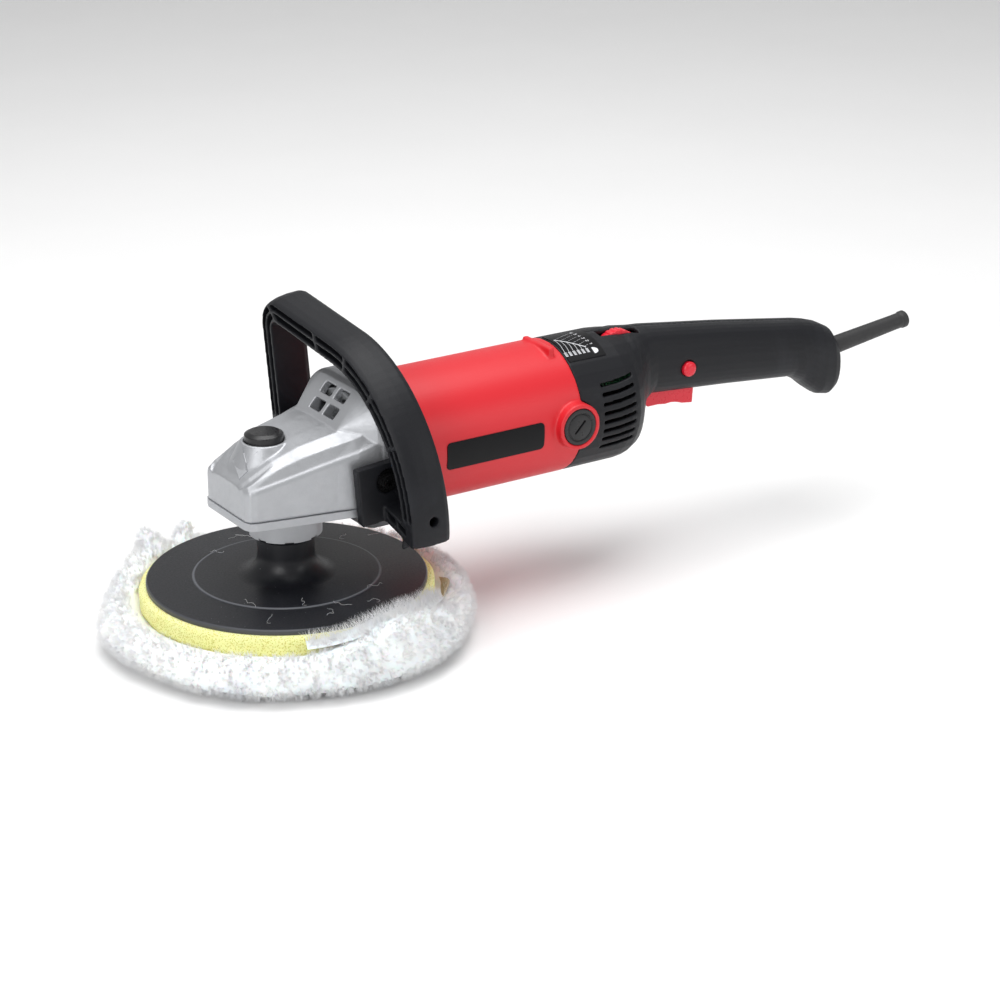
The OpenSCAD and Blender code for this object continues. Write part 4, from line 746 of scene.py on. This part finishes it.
for v, mark in zip(fleece_mesh.vertices, pile_mark.data):
    mark.value = not in_pocket(v.co)


def grown(name, base, body, material, plan, **sizes):
    """A piece that geometry nodes grow from a base mesh. The plan writes the nodes from the named sizes."""
    tree = bpy.data.node_groups.new(name, "GeometryNodeTree")
    tree.interface.new_socket("Geometry", in_out="INPUT", socket_type="NodeSocketGeometry")
    tree.interface.new_socket("Geometry", in_out="OUTPUT", socket_type="NodeSocketGeometry")
    keys = {}
    for size, value in sizes.items():
        kind = "NodeSocketInt" if isinstance(value, int) else "NodeSocketFloat"
        keys[size] = tree.interface.new_socket(size.title(), in_out="INPUT", socket_type=kind).identifier
    made = Nodes(tree)
    inlet = tree.nodes.new("NodeGroupInput")
    inlets = {s.identifier: Value(made, s) for s in inlet.outputs}
    shape = plan(made, Value(made, inlet.outputs[0]), **{size: inlets[key] for size, key in keys.items()})
    shape = made.node("GeometryNodeRealizeInstances", {}, {"Geometry": shape})
    shape = made.node("GeometryNodeSetMaterial", {}, {"Geometry": shape, "Material": material})
    made.node("NodeGroupOutput", {}, {"Geometry": shape})
    maker = linked(name + "_base", base)
    modifier = maker.modifiers.new(name, "NODES")
    modifier.node_group = tree
    for size, key in keys.items():
        modifier[key] = sizes[size]
    return piece(name, settled(maker), body, material)


def lay_pile(tree, fleece, density, length, width, inward, seed):
    """Locks of tapered fibres on a fleece. They lean outwards, or inwards, and none goes through the table."""
    def vector(operation, first, second):
        return tree.node("ShaderNodeVectorMath", {"operation": operation}, {
            0: first, "Scale" if operation == "SCALE" else 1: second})

    def random(low, high, seed_number):
        kind = "FLOAT_VECTOR" if isinstance(low, tuple) else "FLOAT"
        return tree.node("FunctionNodeRandomValue", {"data_type": kind}, {
            "Min": low, "Max": high, "Seed": seed_number})

    tilt_low, tilt_high = (-0.3, -0.3, 0.0), (0.3, 0.3, 6.28)
    has_pile = tree.node("GeometryNodeInputNamedAttribute", {"data_type": "BOOLEAN"}, {"Name": "pile"})
    points = tree.node("GeometryNodeDistributePointsOnFaces", {}, {
        "Mesh": fleece, "Density": density, "Seed": seed, "Selection": has_pile}, "Points")
    spot = tree.node("GeometryNodeInputPosition")
    outward = vector("SCALE", vector("MULTIPLY", spot, (8.0, 8.0, 0.0)), 0.9 - inward * 2)
    stray = tree.node("ShaderNodeTexNoise", {}, {"Vector": spot, "Scale": 120.0, "Detail": 1.0}, "Color")
    stray = vector("SCALE", vector("SUBTRACT", stray, (0.5, 0.5, 0.56)), 1.3)
    lie = vector("ADD", vector("ADD", points.other("Normal"), outward), stray)
    turn = tree.node("FunctionNodeAlignRotationToVector", {"axis": "Z"}, {"Vector": lie})
    spin = random(tilt_low, tilt_high, 3)
    turn = tree.node("FunctionNodeRotateRotation", {"rotation_space": "LOCAL"}, {
        "Rotation": turn, "Rotate By": tree.node("FunctionNodeEulerToRotation", {}, {"Euler": spin})})
    bend = tree.node("ShaderNodeCombineXYZ", {}, {"Z": length * 0.5})
    tip = tree.node("ShaderNodeCombineXYZ", {}, {"X": length * 0.4, "Z": length * 0.9})
    fibre = tree.node("GeometryNodeCurveQuadraticBezier", {}, {
        "Resolution": 2, "Start": (0.0, 0.0, 0.0), "Middle": bend, "End": tip})
    taper = 1.0 - tree.node("GeometryNodeSplineParameter", output="Factor") * 0.9
    fibre = tree.node("GeometryNodeCurveToMesh", {}, {
        "Curve": fibre, "Scale": taper, "Fill Caps": True,
        "Profile Curve": tree.node("GeometryNodeCurvePrimitiveCircle", {}, {"Resolution": 3, "Radius": width})})
    fan = random(tilt_low, tilt_high, 5)
    lock = tree.node("GeometryNodeInstanceOnPoints", {}, {
        "Points": tree.node("GeometryNodeMeshCircle", {}, {"Vertices": 6, "Radius": length * 0.1}),
        "Instance": fibre,
        "Rotation": tree.node("FunctionNodeEulerToRotation", {}, {"Euler": fan}),
        "Scale": random(0.7, 1.15, 7)})
    pile = tree.node("GeometryNodeInstanceOnPoints", {}, {
        "Points": points, "Instance": lock, "Rotation": turn, "Scale": random(0.7, 1.3, 9)})
    pile = tree.node("GeometryNodeRealizeInstances", {}, {"Geometry": pile})
    here = tree.node("ShaderNodeSeparateXYZ", {}, {"Vector": spot})
    above = tree.node("ShaderNodeCombineXYZ", {}, {
        "X": here, "Y": here.other("Y"), "Z": here.other("Z").math("MAXIMUM", 0.0004)})
    pile = tree.node("GeometryNodeSetPosition", {}, {"Geometry": pile, "Position": above})
    join = tree.node("GeometryNodeJoinGeometry", {}, {"Geometry": pile})
    tree.tree.links.new(fleece.socket, join.socket.node.inputs["Geometry"])
    return join


wool_white = Finish("wool_white")
curl = wool_white.grain(420, 4, 0.6, warp=2.5)
shadow = wool_white.between(wool_white.grain(42, 4, 0.6, warp=0.8), 0.35, 0.62)
wool_white.shade(
    base_color=wool_white.blend(shadow, (0.90, 0.91, 0.93), (0.975, 0.975, 0.97)),
    roughness=0.92,
    sheen_weight=0.5,
    subsurface_weight=0.3,
    normal=wool_white.bump(curl, 0.0006, 0.3))
wool_fleece = grown("wool_fleece", fleece_mesh, "spindle", wool_white.material, lay_pile,
                    density=130000.0, length=0.0048, width=0.00017, inward=0.0, seed=4)
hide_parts("wool_bonnet")

# Wisps of the pile lie in over the edge of the foam, and over the disc on one
# side.
wisp_shape = bmesh.new()
wisp_rows = []
for i in range(61):
    angle = -112 + 66 * i / 60
    edge = around(angle, climb_at, 22)
    wisp_rows.append([wisp_shape.verts.new(polar(r, math.radians(angle), z)) for r, z in (
        (0.1035, 0.0315 + 0.006 * edge), (0.0985, 0.0325 + 0.0075 * edge),
        (0.0955 - 0.004 * edge, 0.0335 + 0.0062 * edge))])
for row, after in zip(wisp_rows, wisp_rows[1:]):
    for k in range(2):
        wisp_shape.faces.new((row[k], after[k], after[k + 1], row[k + 1]))
wisp_base = finished("wisp_base", wisp_shape, turn_out=False)
for mark in wisp_base.attributes.new("pile", "BOOLEAN", "POINT").data:
    mark.value = True
wool_wisps = grown("wool_wisps", wisp_base, "spindle", wool_white.material, lay_pile,
                   density=170000.0, length=0.0080, width=0.00017, inward=0.85, seed=11)

# ---------------------------------------------------------------------------
# Bonnet back: a cup of unbleached knitted cloth that holds the foam. Its edge
# shows where the fleece parts from the foam.
# ---------------------------------------------------------------------------


def cloth_section(angle):
    """The cloth cup's outline in a cut through its axis, with its edge a little uneven."""
    a = math.radians(angle)
    parting = around(angle, part_at, 9)
    flare = 0.0052 * parting + 0.0006 * noise.noise(Vector(polar(6, a, 2.0)))
    edge = cloth_edge - 0.001 + 0.0012 * noise.noise(Vector(polar(8, a, 9.0))) + 0.006 * parting
    outside = cloth_high.x
    inside = outside - 0.0012
    base = cloth_low.z
    return [(0, base), (0.05, base), (inside - 0.002, base), (outside, base + 0.0012),
            (outside + 0.4 * flare, 0.5 * (edge + base)), (outside + flare, edge - 0.0004),
            (inside + flare + 0.0004, edge), (inside + flare, edge - 0.0006),
            (inside + 0.4 * flare, 0.5 * (edge + base)), (inside, base + 0.0024),
            (inside - 0.002, base + 0.0015), (0.05, base + 0.0015), (0, base + 0.0015)]


knit = Finish("unbleached_knit")
stitch = knit.node("ShaderNodeTexWave", {"bands_direction": "DIAGONAL", "wave_profile": "SIN"}, {
    "Vector": knit.place, "Scale": 420.0, "Distortion": 3.0, "Detail": 2.0, "Detail Scale": 3.0})
knit.shade(
    base_color=knit.blend(stitch, (0.44, 0.35, 0.22), (0.66, 0.56, 0.40)),
    roughness=0.95,
    sheen_weight=0.2,
    normal=knit.bump(stitch, 0.0005, 0.7))
cloth_cup = piece("cloth_cup", turned("cloth_cup", cloth_section, 180), "spindle", knit.material)
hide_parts("bonnet_backing")

# Stray fibres have caught on the disc, and curl where they lie.
stray_shape = bmesh.new()
stray_points = 14
stray_radius = 0.00008
for n in range(13):
    angle = math.radians((37 * n * n + 53 * n) % 360 if n % 3 else -150 + 8.3 * n)
    reach = 0.052 + 0.034 * ((n * 0.618) % 1)
    heading = angle * 3 + n
    spot = Vector(polar(reach, angle))
    spots = []
    for k in range(stray_points):
        heading += 0.55 * noise.noise(Vector((n * 7.3, k * 0.45, 1.0))) * 3.2
        spot = spot + Vector((math.cos(heading), math.sin(heading), 0)) * 0.0011
        ground = height_at(nodes["backing_pad"], spot.x, spot.y, otherwise=0.0395)
        curl_up = 0.0007 * (0.5 + 0.5 * math.sin(k * 0.9 + n))
        spots.append(Vector((spot.x, spot.y, ground + 0.0003 + curl_up)))
    rings = []
    for k, here in enumerate(spots):
        ahead = (spots[min(k + 1, stray_points - 1)] - spots[max(k - 1, 0)]).normalized()
        side = ahead.cross(Vector((0, 0, 1))).normalized()
        rings.append([stray_shape.verts.new(
            here + (side * math.cos(t) + side.cross(ahead) * math.sin(t)) * stray_radius)
            for t in (0, 2.094, 4.189)])
    for ring, after in zip(rings, rings[1:]):
        for k in range(3):
            stray_shape.faces.new((ring[k], after[k], after[(k + 1) % 3], ring[(k + 1) % 3]))
    stray_shape.faces.new(rings[0])
    stray_shape.faces.new(reversed(rings[-1]))
stray_mesh = finished("stray_fibres", stray_shape)
piece("stray_fibres", stray_mesh, "spindle", wool_white.material)

# ---------------------------------------------------------------------------
# Speed chart: a black film round the top of the bell, printed in white with
# a fan of lines from the numbers 1 to 6 to six rows of plain bars. It has no
# words.
# ---------------------------------------------------------------------------
paint(black_film.material, "speed_chart")
chart_low, chart_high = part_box("speed_chart")
shaft_low, shaft_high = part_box("armature_shaft")
chart_axis_z = 0.5 * (shaft_low.z + shaft_high.z)
chart_radius = chart_high.z - chart_axis_z + 0.00002
print_shape = bmesh.new()
print_thickness = 0.00005
stroke_step = 0.0012


def on_chart(along, round_down):
    """A point on the chart, in metres back from its front edge and down round its right side."""
    a = round_down / chart_radius
    return Vector((
        chart_low.x + along, -chart_radius * math.sin(a), chart_axis_z + chart_radius * math.cos(a)))


def stroke(path, width):
    """A printed line through points on the chart, with a closed mesh."""
    fine = []
    for (x0, y0), (x1, y1) in zip(path, path[1:]):
        count = max(1, int(math.hypot(x1 - x0, y1 - y0) / stroke_step))
        fine += [(x0 + (x1 - x0) * i / count, y0 + (y1 - y0) * i / count) for i in range(count)]
    fine.append(path[-1])
    rows = []
    for k, (x, y) in enumerate(fine):
        x0, y0 = fine[max(k - 1, 0)]
        x1, y1 = fine[min(k + 1, len(fine) - 1)]
        size = math.hypot(x1 - x0, y1 - y0)
        nx, ny = -(y1 - y0) / size * width / 2, (x1 - x0) / size * width / 2
        row = []
        for lift in (0.0, print_thickness):
            for side in (-1, 1):
                p = on_chart(x + side * nx, y + side * ny)
                out = Vector((0, p.y, p.z - chart_axis_z)).normalized()
                row.append(print_shape.verts.new(p + out * lift))
        rows.append(row)
    for a, b in zip(rows, rows[1:]):
        for i, j in ((0, 1), (1, 3), (3, 2), (2, 0)):
            print_shape.faces.new((a[i], b[i], b[j], a[j]))
    print_shape.faces.new((rows[0][0], rows[0][1], rows[0][3], rows[0][2]))
    print_shape.faces.new((rows[-1][0], rows[-1][2], rows[-1][3], rows[-1][1]))


# Each number is a few short strokes, in a box one wide and two high.
numbers = {
    1: [[(0.2, 1.5), (0.6, 2.0), (0.6, 0.0)]],
    2: [[(0.0, 1.7), (0.3, 2.0), (0.8, 1.9), (0.9, 1.4), (0.0, 0.0), (1.0, 0.0)]],
    3: [[(0.0, 1.9), (0.7, 2.0), (0.9, 1.5), (0.4, 1.1), (1.0, 0.6), (0.6, 0.0), (0.0, 0.1)]],
    4: [[(0.7, 0.0), (0.7, 2.0), (0.0, 0.6), (1.0, 0.6)]],
    5: [[(0.9, 2.0), (0.1, 2.0), (0.0, 1.2), (0.6, 1.3), (1.0, 0.7), (0.6, 0.0), (0.0, 0.1)]],
    6: [[(0.8, 2.0), (0.2, 1.4), (0.0, 0.6), (0.4, 0.0), (0.9, 0.3), (0.8, 0.9), (0.1, 0.8)]]}
for number in range(1, 7):
    step = number - 1
    at_x, at_y = 0.0236 - 0.00072 * step, 0.0168 - 0.00364 * step
    for path in numbers[number]:
        stroke([(at_x - 0.0009 + 0.0011 * y, at_y - 0.0008 + 0.0016 * x) for x, y in path], 0.00032)
    # Each number's line meets the thick curve, and runs on to a row of bars.
    row_x = 0.0179 - 0.0034 * step
    knee_x, knee_y = 0.0175 - 0.0030 * step, 0.0181 - 0.00275 * step
    for bar in range(4):
        bar_y = 0.0207 + bar * 0.0010
        stroke([(row_x - 0.0010, bar_y), (row_x + 0.0010, bar_y)], 0.0005)
    stroke([(at_x - 0.0022, at_y + 0.0002), (knee_x + 0.0004, knee_y)], 0.00010)
    elbow = (0.4 * row_x + 0.6 * knee_x + 0.0004, 0.5 * (knee_y + 0.0203))
    stroke([(knee_x, knee_y), elbow, (row_x, 0.0201)], 0.00024)
stroke([(0.0185, 0.0190), (0.0175, 0.0181), (0.0148, 0.0158), (0.0118, 0.0130), (0.0086, 0.0100),
        (0.0055, 0.0072), (0.0022, 0.0044)], 0.0006)
# A white half disc marks the chart's corner.
disc_lines = 11
for k in range(disc_lines):
    v = -1 + 2 * (k + 0.5) / disc_lines
    line_y = 0.0232 + v * 0.0026
    stroke([(0.0216, line_y), (0.0219 + 0.0036 * math.sqrt(1 - v * v), line_y)], 0.00052)
print_mesh = finished("chart_print", print_shape)
white_print = Finish("white_print")
white_print.shade(
    base_color=white_print.blend(white_print.grain(500, 3), (0.74, 0.75, 0.78), (0.86, 0.87, 0.90)),
    roughness=white_print.spread(white_print.grain(300, 2), 0.40, 0.50))
piece("chart_print", print_mesh, "machine", white_print.material, smooth=False)
